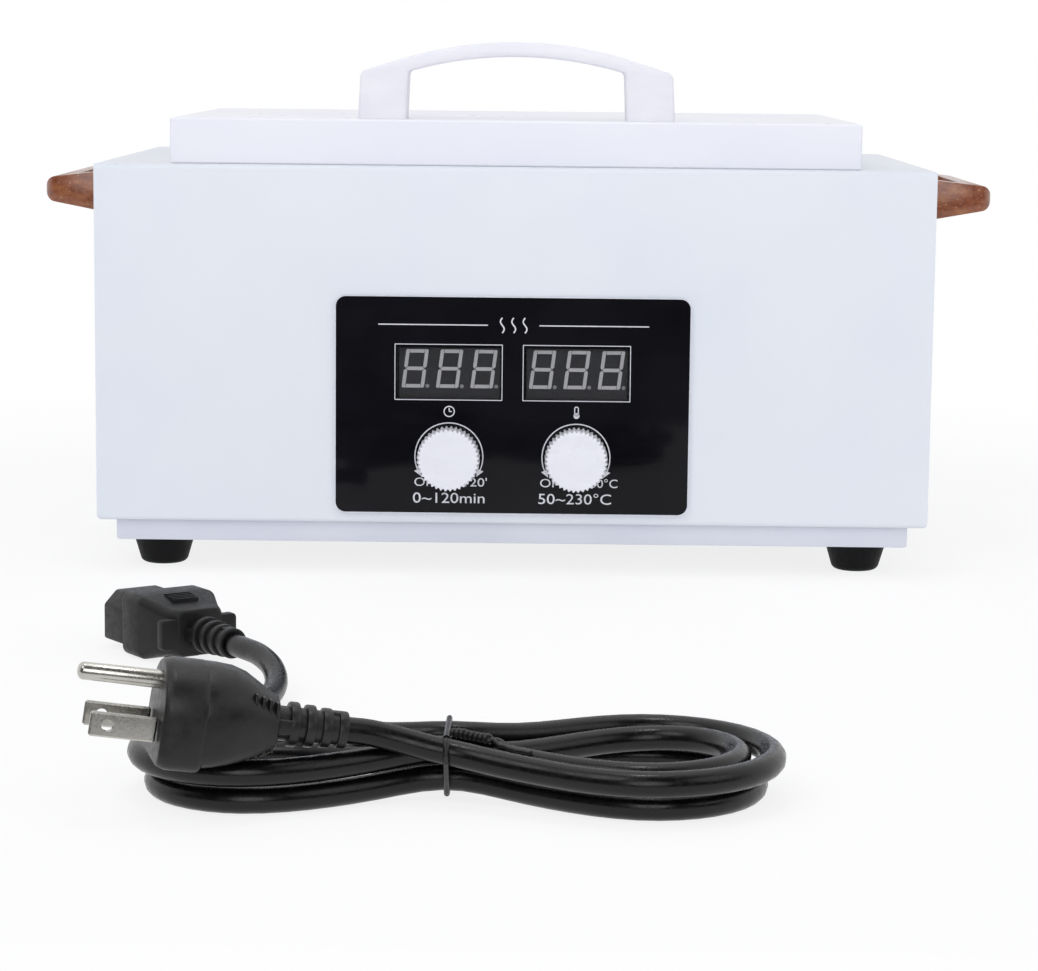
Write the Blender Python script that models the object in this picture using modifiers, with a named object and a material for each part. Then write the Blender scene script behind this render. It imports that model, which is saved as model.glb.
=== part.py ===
"""Bench dry heat sterilizer: a steel case with a heated tank, a hinged lid and a lift-out tray.

Metres, +Z up. The origin is on the floor, under the middle of the body without its mains lead.
The control panel faces -Y and the hinges are at the rear, +Y.
"""

import math

import bmesh
import bpy
import numpy as np
from mathutils import Matrix, Vector

# Clearances and stock
gap = 0.0003
overrun = 0.002
sheet = 0.0012
round_steps = 16
bend_steps = 4

# Outer casing, read from the photograph
casing_width = 0.310
casing_height = 0.1323
casing_depth = 0.197
front_bend = 0.0020
rear_flange = 0.016
side_flange = 0.012
side_edge_round = 0.0006

# Base pan and feet
base_inset = 0.00925
base_lip = 0.0077
base_flare = 0.0025
base_inside_lip = 0.009
base_flare_rise = 0.006
base_corner = 0.002
base_plate_step = 0.003
base_side_step = 0.0005
foot_height = 0.0121
foot_top_radius = 0.0116
foot_bottom_radius = 0.0082
foot_edge_round = 0.0026
foot_recess_radius = 0.0042
foot_recess_depth = 0.004
foot_neck_radius = 0.0027
foot_hole_radius = 0.003
foot_bulb_radius = 0.0038
foot_bulb_height = 0.004
foot_bulb_tip = 0.0015
foot_inset_side = 0.0229
foot_inset_front = 0.027

# Moulded-in studs of the handles
stud_radius = 0.0019
stud_hole = 0.0022
stud_length = 0.006
stud_root = 0.004

# Control panel, displays and knobs
panel_width = 0.130
panel_height = 0.0805
panel_thickness = 0.0013
panel_corner = 0.0037
panel_rise = 0.0040
display_spacing = 0.0472
display_height = 0.0525
display_width = 0.0376
display_tall = 0.0190
display_depth = 0.0082
window_margin = 0.0004
window_thickness = 0.0008
knob_height = 0.0215
knob_radius = 0.01175
knob_root_radius = 0.01115
knob_depth = 0.0148
knob_teeth = 44
knob_bore_depth = 0.009
shaft_radius = 0.003
shaft_bore = 0.0033
bush_radius = 0.0040
pot_radius = 0.008
bush_reach = 0.0006
shaft_depth = 0.003

# Control board
board_width = 0.124
board_height = 0.072
board_thickness = 0.0016
board_rise = 0.0100
board_edge = 0.005
standoff_radius = 0.003
transformer_core = (0.032, 0.026, 0.013)
transformer_coil = (0.022, 0.018, 0.019)
terminal_size = (0.030, 0.012, 0.012)
terminal_count = 5
terminal_entry = 0.0017
board_part_height = 0.018
transformer_place = -0.038
terminal_place = 0.030

# Chamber tank, its rim and the tray
tank_side_margin = 0.042
tank_end_margin = 0.025
tank_depth = 0.070
tank_wall = 0.0008
tank_corner = 0.016
tank_floor_round = 0.006
tank_rim = 0.009
opening_margin = 0.004
tray_clearance = 0.006
tray_height = 0.018
tray_wall = 0.0008
tray_corner = 0.012
tray_lip = 0.003
tray_stand = 0.0054
tray_foot_radius = 0.004
tray_foot_inset = 0.014
slot_width = 0.004
slot_length = 0.022
slot_end_margin = 0.01425
slot_columns = 5
slot_rows = 7
ring_radius = 0.0237
ring_wire = 0.0013
ring_sides = 30
ring_inset = 0.009
saddle_width = 0.006
saddle_foot = 0.004
saddle_strap = 0.0007
saddle_bore = 0.0019

# Heater, insulation and sensors under the tank
heater_side_margin = 0.027
heater_end_margin = 0.024
heater_thickness = 0.003
jacket_wall = 0.006
jacket_floor = 0.010
cradle_width = 0.120
cradle_thickness = 0.001
cradle_foot = 0.010
cradle_window = 0.090
cradle_window_length = 0.080
probe_radius = 0.0025
probe_length = 0.040
sensor_place = 0.040

# Lid
lid_overlap = 0.0155
lid_rear_inset = 0.005
lid_height = 0.0165
lid_sheet = 0.001
lid_setback = 0.014
lid_edge_round = 0.0006
liner_rise = 0.0022
liner_flange = 0.007
liner_sheet = 0.0008
seal_thickness = 0.0008
seal_width = 0.007
handle_width = 0.1197
handle_top_width = 0.1178
handle_leg_height = 0.0175
handle_knee_width = 0.0892
handle_knee_height = 0.0221
handle_peak = 0.0287
handle_opening = 0.0830
handle_opening_top = 0.0814
handle_opening_side = 0.0174
handle_opening_peak = 0.0232
handle_thickness = 0.020
handle_setback = 0.018
handle_round = 0.0022
handle_arc_steps = 10
wool_hole = 0.005

# Hinges
hinge_inset = 0.0485
hinge_width = 0.036
hinge_barrel = 0.0031
hinge_pin = 0.0012
hinge_bore = 0.0015
hinge_leaf = 0.001
hinge_rise = 0.0035
lid_leaf_height = 0.0095
case_leaf_height = 0.0145
knuckle_share = 1 / 3

# Side handles
grip_rise = 0.1197
grip_reach = 0.0285
grip_length = 0.097
grip_strip = 0.011
grip_bend = 0.0085
grip_root = 0.0141
grip_tip = 0.0093
grip_tip_lift = 0.0005
grip_round = 0.0026
grip_front = 0.050

# Rear inlet with its fuse drawer
inlet_inset = 0.055
inlet_rise = 0.028
flange_width = 0.031
flange_height = 0.040
flange_thickness = 0.003
flange_round = 0.001
inlet_body_width = 0.0275
inlet_body_height = 0.034
inlet_body_depth = 0.020
socket_width = 0.0245
socket_height = 0.0166
socket_chamfer = 0.005
socket_depth = 0.0175
socket_rise = 0.0068
blade_width = 0.002
blade_height = 0.004
blade_spacing = 0.014
blade_offset = 0.002
blade_proud = 0.0155
blade_tab = 0.008
drawer_width = 0.0244
drawer_height = 0.0082
drawer_drop = 0.0125
drawer_depth = 0.0180
drawer_face = 0.0018
drawer_face_height = 0.0092
drawer_floor = 0.0010
fuse_length = 0.020
fuse_radius = 0.0026
fuse_glass_radius = 0.0021
fuse_cap_length = 0.005
fuse_pitch = 0.0068
fuse_first = 0.0052
notch_radius = 0.002

# Vents of the rear panel
vent_width = 0.0032
vent_height = 0.026
vent_pitch = 0.0085
vent_count = 7
vent_place = 0.045
vent_rise = 0.069

# Inside wiring
wire_radius = 0.0012
wire_spread = 0.004

# Mains lead: the cord, its hank, its connector and its plug
cord_radius = 0.0035
cord_floor = 0.0002
hank_x = -0.014
hank_forward = 0.330
hank_reach = 0.053
hank_lobe = 0.033
hank_waist = 0.0132
hank_pitch = 0.0092
hank_layer = 0.0076
hank_start = -0.08
hank_end = 2.42
hank_reversal = 1.0
hank_run_share = 0.26
hank_points = 24
hump_height = 0.0022
hump_length = 0.016
lead_route = (
    (-0.0713, 0.1448, 0.0102),
    (-0.0667, 0.1382, 0.0102),
    (-0.0621, 0.1317, 0.0098),
    (-0.0575, 0.1225, 0.0082),
    (-0.0552, 0.1125, 0.0060),
    (-0.0555, 0.1019, 0.0044),
    (-0.0581, 0.0872, 0.0038),
    (-0.0607, 0.0724, 0.0037),
    (-0.0612, 0.0653, 0.0037),
    (-0.0603, 0.0586, 0.0037),
    (-0.0576, 0.0510, 0.0037),
    (-0.0511, 0.0407, 0.0037),
    (-0.0424, 0.0316, 0.0037),
)
tail_route = (
    (0.0240, -0.0236, 0.0117),
    (0.0140, -0.0192, 0.0126),
    (0.0050, -0.0160, 0.0139),
    (-0.0040, -0.0148, 0.0156),
    (-0.0120, -0.0145, 0.0176),
    (-0.0198, -0.01534, 0.01958),
    (-0.0260, -0.0170, 0.0206),
)
cord_end_gap = 0.0006
relief_length = 0.023
relief_ribs = 4
relief_rib_radius = 0.0062
relief_groove_radius = 0.0047
relief_collar = 0.0025
connector_turn = 125.0
connector_width = 0.028
connector_height = 0.0204
connector_grip_length = 0.027
connector_neck_width = 0.020
connector_neck_height = 0.015
connector_ear_width = 0.027
connector_ear_length = 0.004
insert_width = 0.0238
insert_height = 0.0160
insert_length = 0.0170
insert_chamfer = 0.0045
contact_slot_width = 0.0026
contact_slot_height = 0.0046
contact_slot_depth = 0.008
contact_offset = 0.002
plug_turn = 195.0
plug_tilt = 9.0
plug_width = 0.027
plug_height = 0.0272
plug_axis_rise = 0.0132
plug_body_length = 0.031
plug_neck_width = 0.014
plug_shoulder_share = 0.62
plug_relief_length = 0.020
prong_spacing = 0.0127
prong_height = 0.0064
prong_thickness = 0.0015
prong_length = 0.0170
prong_drop = 0.0040
prong_hole = 0.0016
prong_hole_inset = 0.0045
earth_radius = 0.0024
earth_length = 0.0210
earth_rise = 0.0079
nose_share = 0.8
nose_tip_share = 0.55
nose_crown_share = 0.15
tie_radius = 0.0008
tie_clear = 0.0004
tie_slack = 0.0014
tie_tail = 0.016
tie_tail_spread = 0.005

# Sizes and places worked out from the sizes above
base_width = casing_width - 2 * base_inset
lid_depth = casing_depth - lid_setback - lid_rear_inset
tank_width = casing_width - 2 * tank_side_margin
tank_length = lid_depth - 2 * tank_end_margin
lid_width = tank_width + 2 * lid_overlap
hinge_place = lid_width / 2 - hinge_inset
tray_width = tank_width - 2 * tray_clearance
tray_length = tank_length - 2 * tray_clearance
slot_pitch = (tray_length - 2 * slot_end_margin) / slot_rows
heater_width = tank_width - 2 * heater_side_margin
heater_length = tank_length - 2 * heater_end_margin
inlet_place = inlet_inset - casing_width / 2
shell_z = foot_height + base_lip
top_z = shell_z + casing_height
knob_reach = panel_thickness + 2 * gap + knob_depth
rear_reach = flange_thickness - sheet + gap + drawer_face
front_y = knob_reach - (knob_reach + casing_depth + rear_reach) / 2
rear_y = front_y + casing_depth
half_width = casing_width / 2
cover_hem = 2 * sheet + gap
under_top_z = top_z - sheet - gap
rear_sheet_y = rear_y - sheet - gap
side_rear_y = rear_sheet_y - sheet - gap
pan_front_y = front_y + cover_hem + gap
pan_rear_y = side_rear_y - sheet - gap
panel_z = shell_z + panel_rise
panel_face_y = front_y - gap - panel_thickness
tank_y = front_y + lid_setback + lid_depth / 2
rim_z = top_z + gap + tank_wall
tank_floor_z = top_z - tank_depth
lid_bottom_z = top_z + gap
lid_top_z = lid_bottom_z + lid_height
lid_front_y = front_y + lid_setback
lid_rear_y = lid_front_y + lid_depth
liner_z = lid_bottom_z + liner_rise
board_y = front_y + display_depth + gap
board_rear_y = board_y + board_thickness
board_z = shell_z + board_rise
hinge_y = lid_rear_y + gap + hinge_barrel
hinge_z = top_z + hinge_rise
grip_z = shell_z + grip_rise
grip_y = front_y + grip_front + grip_length / 2
flange_y = rear_sheet_y + gap
inlet_z = shell_z + inlet_rise
vent_z = shell_z + vent_rise

finishes = {}
for finish, colour, metallic, roughness in (
    ("white_powder_coat", (0.86, 0.88, 0.92), 0.0, 0.45),
    ("white_lid_coat", (0.90, 0.91, 0.95), 0.0, 0.35),
    ("white_plastic", (0.90, 0.90, 0.93), 0.0, 0.25),
    ("brown_bakelite", (0.26, 0.10, 0.05), 0.0, 0.35),
    ("black_panel", (0.012, 0.012, 0.015), 0.0, 0.12),
    ("smoked_window", (0.03, 0.03, 0.035), 0.0, 0.08),
    ("display_grey", (0.12, 0.12, 0.13), 0.0, 0.5),
    ("black_rubber", (0.018, 0.018, 0.018), 0.0, 0.7),
    ("black_cord", (0.012, 0.012, 0.012), 0.0, 0.35),
    ("stainless_steel", (0.62, 0.62, 0.63), 1.0, 0.28),
    ("zinc_steel", (0.55, 0.55, 0.54), 1.0, 0.4),
    ("nickel", (0.68, 0.67, 0.64), 1.0, 0.22),
    ("green_board", (0.02, 0.16, 0.08), 0.0, 0.45),
    ("black_plastic", (0.02, 0.02, 0.022), 0.0, 0.5),
    ("blue_plastic", (0.03, 0.12, 0.35), 0.0, 0.4),
    ("mineral_wool", (0.75, 0.72, 0.60), 0.0, 0.95),
    ("silicone_red", (0.40, 0.06, 0.04), 0.0, 0.6),
    ("wire_brown", (0.18, 0.07, 0.03), 0.0, 0.5),
    ("wire_green", (0.10, 0.30, 0.06), 0.0, 0.5),
):
    material = bpy.data.materials.new(finish)
    material.use_nodes = True
    shader = material.node_tree.nodes["Principled BSDF"]
    shader.inputs["Base Color"].default_value = (*colour, 1.0)
    shader.inputs["Metallic"].default_value = metallic
    shader.inputs["Roughness"].default_value = roughness
    finishes[finish] = material

for item in list(bpy.data.objects):
    bpy.data.objects.remove(item, do_unlink=True)
parts = bpy.data.collections.new("dry_heat_sterilizer")
tools = bpy.data.collections.new("cutters")
bpy.context.scene.collection.children.link(parts)
bpy.context.scene.collection.children.link(tools)


# Building blocks

def put(name, mesh, finish):
    """Adds a mesh to the model, or to the cutters when it has no finish."""
    item = bpy.data.objects.new(name, mesh)
    if finish is None:
        item.hide_render = True
        item.display_type = "WIRE"
        tools.objects.link(item)
    else:
        mesh.materials.append(finishes[finish])
        parts.objects.link(item)
    return item


def keep(name, bm, finish):
    mesh = bpy.data.meshes.new(name)
    bm.to_mesh(mesh)
    bm.free()
    return put(name, mesh, finish)


def add_block(bm, low, high):
    low, high = Vector(low), Vector(high)
    made = bmesh.ops.create_cube(bm, size=1.0)["verts"]
    bmesh.ops.scale(bm, vec=high - low, verts=made)
    bmesh.ops.translate(bm, vec=(low + high) / 2, verts=made)
    return made


def block(name, low, high, finish):
    """A box between two corners."""
    bm = bmesh.new()
    add_block(bm, low, high)
    return keep(name, bm, finish)


def blocks(name, corners, finish):
    """Separate boxes in one object, each given by its two corners."""
    bm = bmesh.new()
    for low, high in corners:
        add_block(bm, low, high)
    return keep(name, bm, finish)


def add_rod(bm, start, end, radius, sides=round_steps, end_radius=None):
    start, end = Vector(start), Vector(end)
    made = bmesh.ops.create_cone(
        bm,
        cap_ends=True,
        segments=sides,
        radius1=radius,
        radius2=radius if end_radius is None else end_radius,
        depth=(end - start).length,
    )["verts"]
    turn = Vector((0, 0, 1)).rotation_difference(end - start).to_matrix()
    bmesh.ops.rotate(bm, cent=(0, 0, 0), matrix=turn, verts=made)
    bmesh.ops.translate(bm, vec=(start + end) / 2, verts=made)
    return made


def rods(name, ends, radius, finish, sides=round_steps):
    """Separate round rods in one object, each given by its two ends."""
    bm = bmesh.new()
    for start, end in ends:
        add_rod(bm, start, end, radius, sides)
    return keep(name, bm, finish)


def shell(name, low, high, thickness, open_sides, finish, edge_round=0.0):
    """A sheet box with some of its sides left out, its wall inside the given corners."""
    bm = bmesh.new()
    add_block(bm, low, high)
    bm.faces.ensure_lookup_table()
    bm.normal_update()
    gone = [f for f in bm.faces if any(f.normal.dot(Vector(s)) > 0.9 for s in open_sides)]
    bmesh.ops.delete(bm, geom=gone, context="FACES")
    item = keep(name, bm, finish)
    wall = item.modifiers.new("wall", "SOLIDIFY")
    wall.thickness = thickness
    wall.offset = -1.0
    wall.use_even_offset = True
    if edge_round:
        round_edges(item, edge_round, 1)
    return item


def round_edges(item, width, segments=2, angle=30.0):
    edge = item.modifiers.new("edge", "BEVEL")
    edge.width = width
    edge.segments = segments
    edge.limit_method = "ANGLE"
    edge.angle_limit = math.radians(angle)
    edge.use_clamp_overlap = True
    return edge


def to_mesh(item, finish):
    """Replaces a curve or a modified object by its plain mesh, with the caps welded."""
    bpy.context.view_layer.update()
    evaluated = item.evaluated_get(bpy.context.evaluated_depsgraph_get())
    mesh = bpy.data.meshes.new_from_object(evaluated)
    mesh.transform(item.matrix_world)
    name = item.name
    bpy.data.objects.remove(item, do_unlink=True)
    bm = bmesh.new()
    bm.from_mesh(mesh)
    bmesh.ops.remove_doubles(bm, verts=bm.verts, dist=0.000001)
    bm.to_mesh(mesh)
    bm.free()
    mesh.name = name
    mesh.materials.clear()
    return put(name, mesh, finish)


plane_turns = {
    "XY": (0.0, 0.0, 0.0),
    "XZ": (math.pi / 2, 0.0, 0.0),
    "YZ": (math.pi / 2, 0.0, math.pi / 2),
}


def flat(name, outlines, depth, plane, centre, finish):
    """A flat outline with its holes, thickened evenly to both sides of its plane."""
    curve = bpy.data.curves.new(name, "CURVE")
    curve.dimensions = "2D"
    curve.fill_mode = "BOTH"
    curve.extrude = depth / 2
    for outline in outlines:
        line = curve.splines.new("POLY")
        line.points.add(len(outline) - 1)
        for point, (u, v) in zip(line.points, outline):
            point.co = (u, v, 0.0, 1.0)
        line.use_cyclic_u = True
    item = bpy.data.objects.new(name, curve)
    item.rotation_euler = plane_turns[plane]
    item.location = centre
    tools.objects.link(item)
    return to_mesh(item, finish)


def tube(name, points, radius, finish, resolution=2):
    """A round bar along a line of points, with filled ends."""
    curve = bpy.data.curves.new(name, "CURVE")
    curve.dimensions = "3D"
    curve.bevel_depth = radius
    curve.bevel_resolution = resolution
    curve.use_fill_caps = True
    line = curve.splines.new("POLY")
    line.points.add(len(points) - 1)
    for point, place in zip(line.points, points):
        point.co = (*place, 1.0)
    item = bpy.data.objects.new(name, curve)
    curve.materials.append(finishes[finish])
    parts.objects.link(item)
    return item


def turned(name, profile, start, direction, finish, steps=round_steps):
    """A turned piece: (radius, height) pairs from the top down its outer side, along an axis."""
    mesh = bpy.data.meshes.new(name)
    places = [(radius, 0.0, height) for radius, height in profile]
    pairs = [(i, (i + 1) % len(places)) for i in range(len(places))]
    edges = [(i, j) for i, j in pairs if places[i][0] > 0 or places[j][0] > 0]
    mesh.from_pydata(places, edges, [])
    item = put(name, mesh, finish)
    spin = item.modifiers.new("turn", "SCREW")
    spin.steps = steps
    spin.render_steps = steps
    spin.use_merge_vertices = True
    spin.merge_threshold = 0.00001
    item.rotation_euler = Vector((0, 0, 1)).rotation_difference(Vector(direction)).to_euler()
    item.location = start
    return item


def cut(item, cutter, how="DIFFERENCE"):
    """Cuts one solid from another, or joins it, and keeps the cutter out of the model."""
    change = item.modifiers.new(how.lower(), "BOOLEAN")
    change.operation = how
    change.solver = "EXACT"
    change.object = cutter


def loft(name, rings, finish, caps=(True, True)):
    """A skin through rings of equal counts, running anticlockwise from the bottom up."""
    bm = bmesh.new()
    rows = [[bm.verts.new(place) for place in ring] for ring in rings]
    count = len(rows[0])
    for lower, upper in zip(rows, rows[1:]):
        for i in range(count):
            j = (i + 1) % count
            bm.faces.new((lower[i], lower[j], upper[j], upper[i]))
    if caps[0]:
        bm.faces.new(list(reversed(rows[0])))
    if caps[1]:
        bm.faces.new(rows[-1])
    return keep(name, bm, finish)


def thicken(item, thickness, outward):
    wall = item.modifiers.new("wall", "SOLIDIFY")
    wall.thickness = thickness
    wall.offset = 1.0 if outward else -1.0
    wall.use_even_offset = True


def rounded_rectangle(width, length, radius, steps=bend_steps):
    """Points of a rectangle with round corners, anticlockwise about zero."""
    points = []
    for k, (sx, sy) in enumerate(((1, 1), (-1, 1), (-1, -1), (1, -1))):
        for i in range(steps + 1):
            angle = math.pi / 2 * (k + i / steps)
            points.append((
                sx * (width / 2 - radius) + radius * math.cos(angle),
                sy * (length / 2 - radius) + radius * math.sin(angle),
            ))
    return points


def ring_at(outline, x, y, z):
    return [(x + u, y + v, z) for u, v in outline]


def arc(cx, cy, radius, start, end, steps):
    """Points along an arc, angles in degrees."""
    return [
        (
            cx + radius * math.cos(math.radians(start + (end - start) * i / steps)),
            cy + radius * math.sin(math.radians(start + (end - start) * i / steps)),
        )
        for i in range(steps + 1)
    ]


def bent_strip(corners, radii, thickness):
    """The outline of a strip bent at its inner corners, about its middle line."""
    line = []
    places = [Vector(c) for c in corners]
    for i, place in enumerate(places):
        if i in (0, len(places) - 1):
            along = (places[1] - places[0]) if i == 0 else (places[-1] - places[-2])
            along = along.normalized()
            line.append((place, Vector((-along.y, along.x))))
            continue
        before = (place - places[i - 1]).normalized()
        after = (places[i + 1] - place).normalized()
        turn = before.angle_signed(after)
        radius = radii[i - 1]
        reach = radius * abs(math.tan(turn / 2))
        side = 1.0 if turn < 0 else -1.0
        normal = Vector((-before.y, before.x))
        centre = place - before * reach + normal * radius * side
        for k in range(bend_steps + 1):
            angle = -turn * k / bend_steps
            spoke = Vector((
                normal.x * math.cos(angle) - normal.y * math.sin(angle),
                normal.x * math.sin(angle) + normal.y * math.cos(angle),
            ))
            line.append((centre - spoke * radius * side, spoke))
    outer = [p + n * thickness / 2 for p, n in line]
    inner = [p - n * thickness / 2 for p, n in reversed(line)]
    return [(p.x, p.y) for p in outer + inner]


def smooth_line(route, step):
    """Points about a step apart on a smooth curve through a route."""
    places = [Vector(p) for p in route]
    places = [places[0] * 2 - places[1], *places, places[-1] * 2 - places[-2]]
    fine = []
    pieces = 12
    for a, b, c, d in zip(places, places[1:], places[2:], places[3:]):
        for k in range(pieces):
            t = k / pieces
            fine.append((
                b * 2 + (c - a) * t + (a * 2 - b * 5 + c * 4 - d) * t * t
                + (b * 3 - a - c * 3 + d) * t * t * t
            ) / 2)
    fine.append(places[-2])
    walked = [0.0]
    for a, b in zip(fine, fine[1:]):
        walked.append(walked[-1] + (b - a).length)
    count = max(2, round(walked[-1] / step))
    made = []
    k = 0
    for i in range(count + 1):
        target = walked[-1] * i / count
        while k < len(fine) - 2 and walked[k + 1] < target:
            k += 1
        share = (target - walked[k]) / max(walked[k + 1] - walked[k], 1e-9)
        made.append(fine[k].lerp(fine[k + 1], min(share, 1.0)))
    return made


def holes(item, name, places, direction, radius, reach):
    """Round holes through a sheet, all in one cutter."""
    way = Vector(direction) * reach
    ends = [(Vector(p) - way, Vector(p) + way) for p in places]
    cut(item, rods(name, ends, radius, None, 12))


# Outer casing

foot_places = [
    (sx * (half_width - foot_inset_side), y)
    for sx in (-1, 1)
    for y in (front_y + foot_inset_front, rear_y - foot_inset_front)
]
display_xs = (-display_spacing / 2, display_spacing / 2)
display_z = panel_z + display_height
knob_z = panel_z + knob_height
grip_legs_y = (
    grip_y - grip_length / 2 + grip_strip / 2,
    grip_y + grip_length / 2 - grip_strip / 2,
)
bow_legs_x = [sx * (handle_width + handle_opening) / 4 for sx in (-1, 1)]
handle_y = lid_front_y + handle_setback + handle_thickness / 2
sides = (("left", -1), ("right", 1))


def make_cover():
    """Front and top in one bent sheet, with a hem below and a flange at the rear."""
    half = sheet / 2
    outline = bent_strip(
        (
            (front_y + cover_hem, shell_z + half),
            (front_y + half, shell_z + half),
            (front_y + half, top_z - half),
            (rear_y - half, top_z - half),
            (rear_y - half, top_z - rear_flange),
        ),
        (sheet * 0.9, front_bend - half, front_bend - half),
        sheet,
    )
    cover = flat("front_top_cover", [outline], casing_width, "YZ", (0, 0, 0), "white_powder_coat")
    mouth = rounded_rectangle(
        tank_width + 2 * opening_margin, tank_length + 2 * opening_margin, tank_corner + opening_margin
    )
    cut(cover, flat("cover_mouth", [mouth], 4 * sheet, "XY", (0, tank_y, top_z), None))
    windows = [
        (
            (x - display_width / 2 - window_margin, front_y - overrun,
             display_z - display_tall / 2 - window_margin),
            (x + display_width / 2 + window_margin, front_y + 2 * overrun,
             display_z + display_tall / 2 + window_margin),
        )
        for x in display_xs
    ]
    cut(cover, blocks("cover_windows", windows, None))
    holes(cover, "cover_bush_holes", [(x, front_y, knob_z) for x in display_xs],
          (0, 1, 0), bush_radius + gap, 2 * overrun)


def make_side(name, side):
    """A side panel with inward flanges at its front, top and rear."""
    outer = side * half_width
    inner = side * (half_width - side_flange)
    low = (min(outer, inner), front_y + sheet + gap, shell_z + sheet + gap)
    high = (max(outer, inner), side_rear_y, under_top_z)
    panel = shell(name, low, high, sheet, ((-side, 0, 0), (0, 0, -1)), "white_powder_coat",
                  side_edge_round)
    holes(panel, name + "_grip_holes", [(outer, y, grip_z) for y in grip_legs_y],
          (1, 0, 0), stud_hole, 2 * overrun)


def make_rear_panel():
    low = (-half_width, rear_sheet_y - sheet, shell_z)
    high = (half_width, rear_sheet_y, top_z - front_bend)
    panel = block("rear_panel", low, high, "white_powder_coat")
    opening_x = inlet_body_width / 2 + 2 * gap
    opening_z = inlet_body_height / 2 + 2 * gap
    cut(panel, block(
        "inlet_opening",
        (inlet_place - opening_x, rear_sheet_y - 2 * sheet, inlet_z - opening_z),
        (inlet_place + opening_x, rear_sheet_y + sheet, inlet_z + opening_z),
        None,
    ))
    vents = []
    for sx in (-1, 1):
        for i in range(vent_count):
            x = sx * vent_place + (i - (vent_count - 1) / 2) * vent_pitch
            vents.append((
                (x - vent_width / 2, rear_sheet_y - 2 * sheet, vent_z - vent_height / 2),
                (x + vent_width / 2, rear_sheet_y + sheet, vent_z + vent_height / 2),
            ))
    cut(panel, blocks("vent_slots", vents, None))


def pan_ring(width, inset, z, wall=0.0):
    """The front flange's ends stand upright, and the side flanges start a step behind it."""
    plate = base_width / 2 - wall
    side = width / 2 - wall
    front = pan_front_y + inset + wall
    rear = pan_rear_y - inset - wall
    step = front + base_plate_step
    outline = (
        (-plate, front),
        (plate, front),
        (plate, step),
        (side, step),
        (side, rear - base_corner),
        (side - base_corner, rear),
        (base_corner - side, rear),
        (-side, rear - base_corner),
        (-side, step),
        (-plate, step),
    )
    return [(x, y, z) for x, y in outline]


def make_base_pan():
    """One sheet, up its outer face and down its inner one; its sides flare out inside the panels."""
    inside = 2 * (half_width - sheet - gap)
    low = base_width + 2 * base_side_step
    levels = (
        (low, base_corner, foot_height),
        (low, 0.0, foot_height + base_corner),
        (base_width + 2 * base_flare, 0.0, shell_z),
        (inside, 0.0, shell_z + base_flare_rise),
        (inside, 0.0, shell_z + base_inside_lip),
    )
    rings = [pan_ring(*level) for level in levels]
    rings += [pan_ring(*level, sheet) for level in reversed(levels[1:])]
    rings.append(pan_ring(low, base_corner, foot_height + sheet, sheet))
    loft("base_pan", rings, "white_powder_coat")
    holes(bpy.data.objects["base_pan"], "foot_plug_holes",
          [(x, y, foot_height) for x, y in foot_places], (0, 0, 1), foot_hole_radius, 2 * overrun)


def make_feet():
    """Rubber feet pushed into the pan: each has a recess below, and a neck and a bulb above."""
    top = foot_height - gap
    neck_top = foot_height + sheet + gap
    bulb_top = neck_top + foot_bulb_height
    profile = (
        (0.0, bulb_top),
        (foot_bulb_tip, bulb_top),
        (foot_bulb_radius, neck_top + foot_bulb_height / 3),
        (foot_bulb_radius, neck_top),
        (foot_neck_radius, neck_top),
        (foot_neck_radius, top),
        (foot_top_radius, top),
        *arc(foot_bottom_radius - foot_edge_round, foot_edge_round, foot_edge_round, 0, -90, 3),
        (foot_recess_radius, 0.0),
        (foot_recess_radius, foot_recess_depth),
        (0.0, foot_recess_depth),
    )
    for (x, y), corner in zip(foot_places, ("left_front", "left_rear", "right_front", "right_rear")):
        turned(corner + "_foot", profile, (x, y, 0), (0, 0, 1), "black_rubber")


# Control panel and knobs

def make_control_panel():
    outline = rounded_rectangle(panel_width, panel_height, panel_corner)
    centre_z = panel_z + panel_height / 2
    holes_in = []
    for x in display_xs:
        half_w = display_width / 2 + window_margin
        half_h = display_tall / 2 + window_margin
        z = display_z - centre_z
        holes_in.append([
            (x - half_w, z - half_h), (x - half_w, z + half_h),
            (x + half_w, z + half_h), (x + half_w, z - half_h),
        ])
        hole = arc(x, knob_z - centre_z, bush_radius + gap, 0, 360, round_steps)[:-1]
        holes_in.append(list(reversed(hole)))
    flat("panel_overlay", [outline, *holes_in], panel_thickness, "XZ",
         (0, panel_face_y + panel_thickness / 2, centre_z), "black_panel")
    for (side, _), x in zip(sides, display_xs):
        half_w = display_width / 2 + window_margin - gap
        half_h = display_tall / 2 + window_margin - gap
        block(
            side + "_display_window",
            (x - half_w, panel_face_y + gap / 2, display_z - half_h),
            (x + half_w, panel_face_y + gap / 2 + window_thickness, display_z + half_h),
            "smoked_window",
        )
        block(
            side + "_display",
            (x - display_width / 2, front_y - gap, display_z - display_tall / 2),
            (x + display_width / 2, board_y - gap, display_z + display_tall / 2),
            "display_grey",
        )


def make_knob(name, shaft_name, x):
    """A knurled knob pressed on its shaft."""
    outline = []
    for i in range(knob_teeth * 2):
        radius = knob_radius if i % 2 == 0 else knob_root_radius
        angle = math.pi * i / knob_teeth
        outline.append((radius * math.cos(angle), radius * math.sin(angle)))
    back_y = panel_face_y - gap
    knob = flat(name, [outline], knob_depth, "XZ", (0, -knob_depth / 2, 0), "white_plastic")
    knob.location = (x, back_y, knob_z)
    bore = rods(name + "_bore", [((x, back_y + overrun, knob_z), (x, back_y - knob_bore_depth, knob_z))],
                shaft_bore, None)
    cut(knob, bore)
    shaft_end = front_y + sheet + gap + shaft_depth
    shaft = rods(shaft_name, [((0, -knob_bore_depth + gap, 0), (0, shaft_end - back_y, 0))],
                 shaft_radius, "zinc_steel")
    shaft.location = (x, back_y, knob_z)


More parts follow.
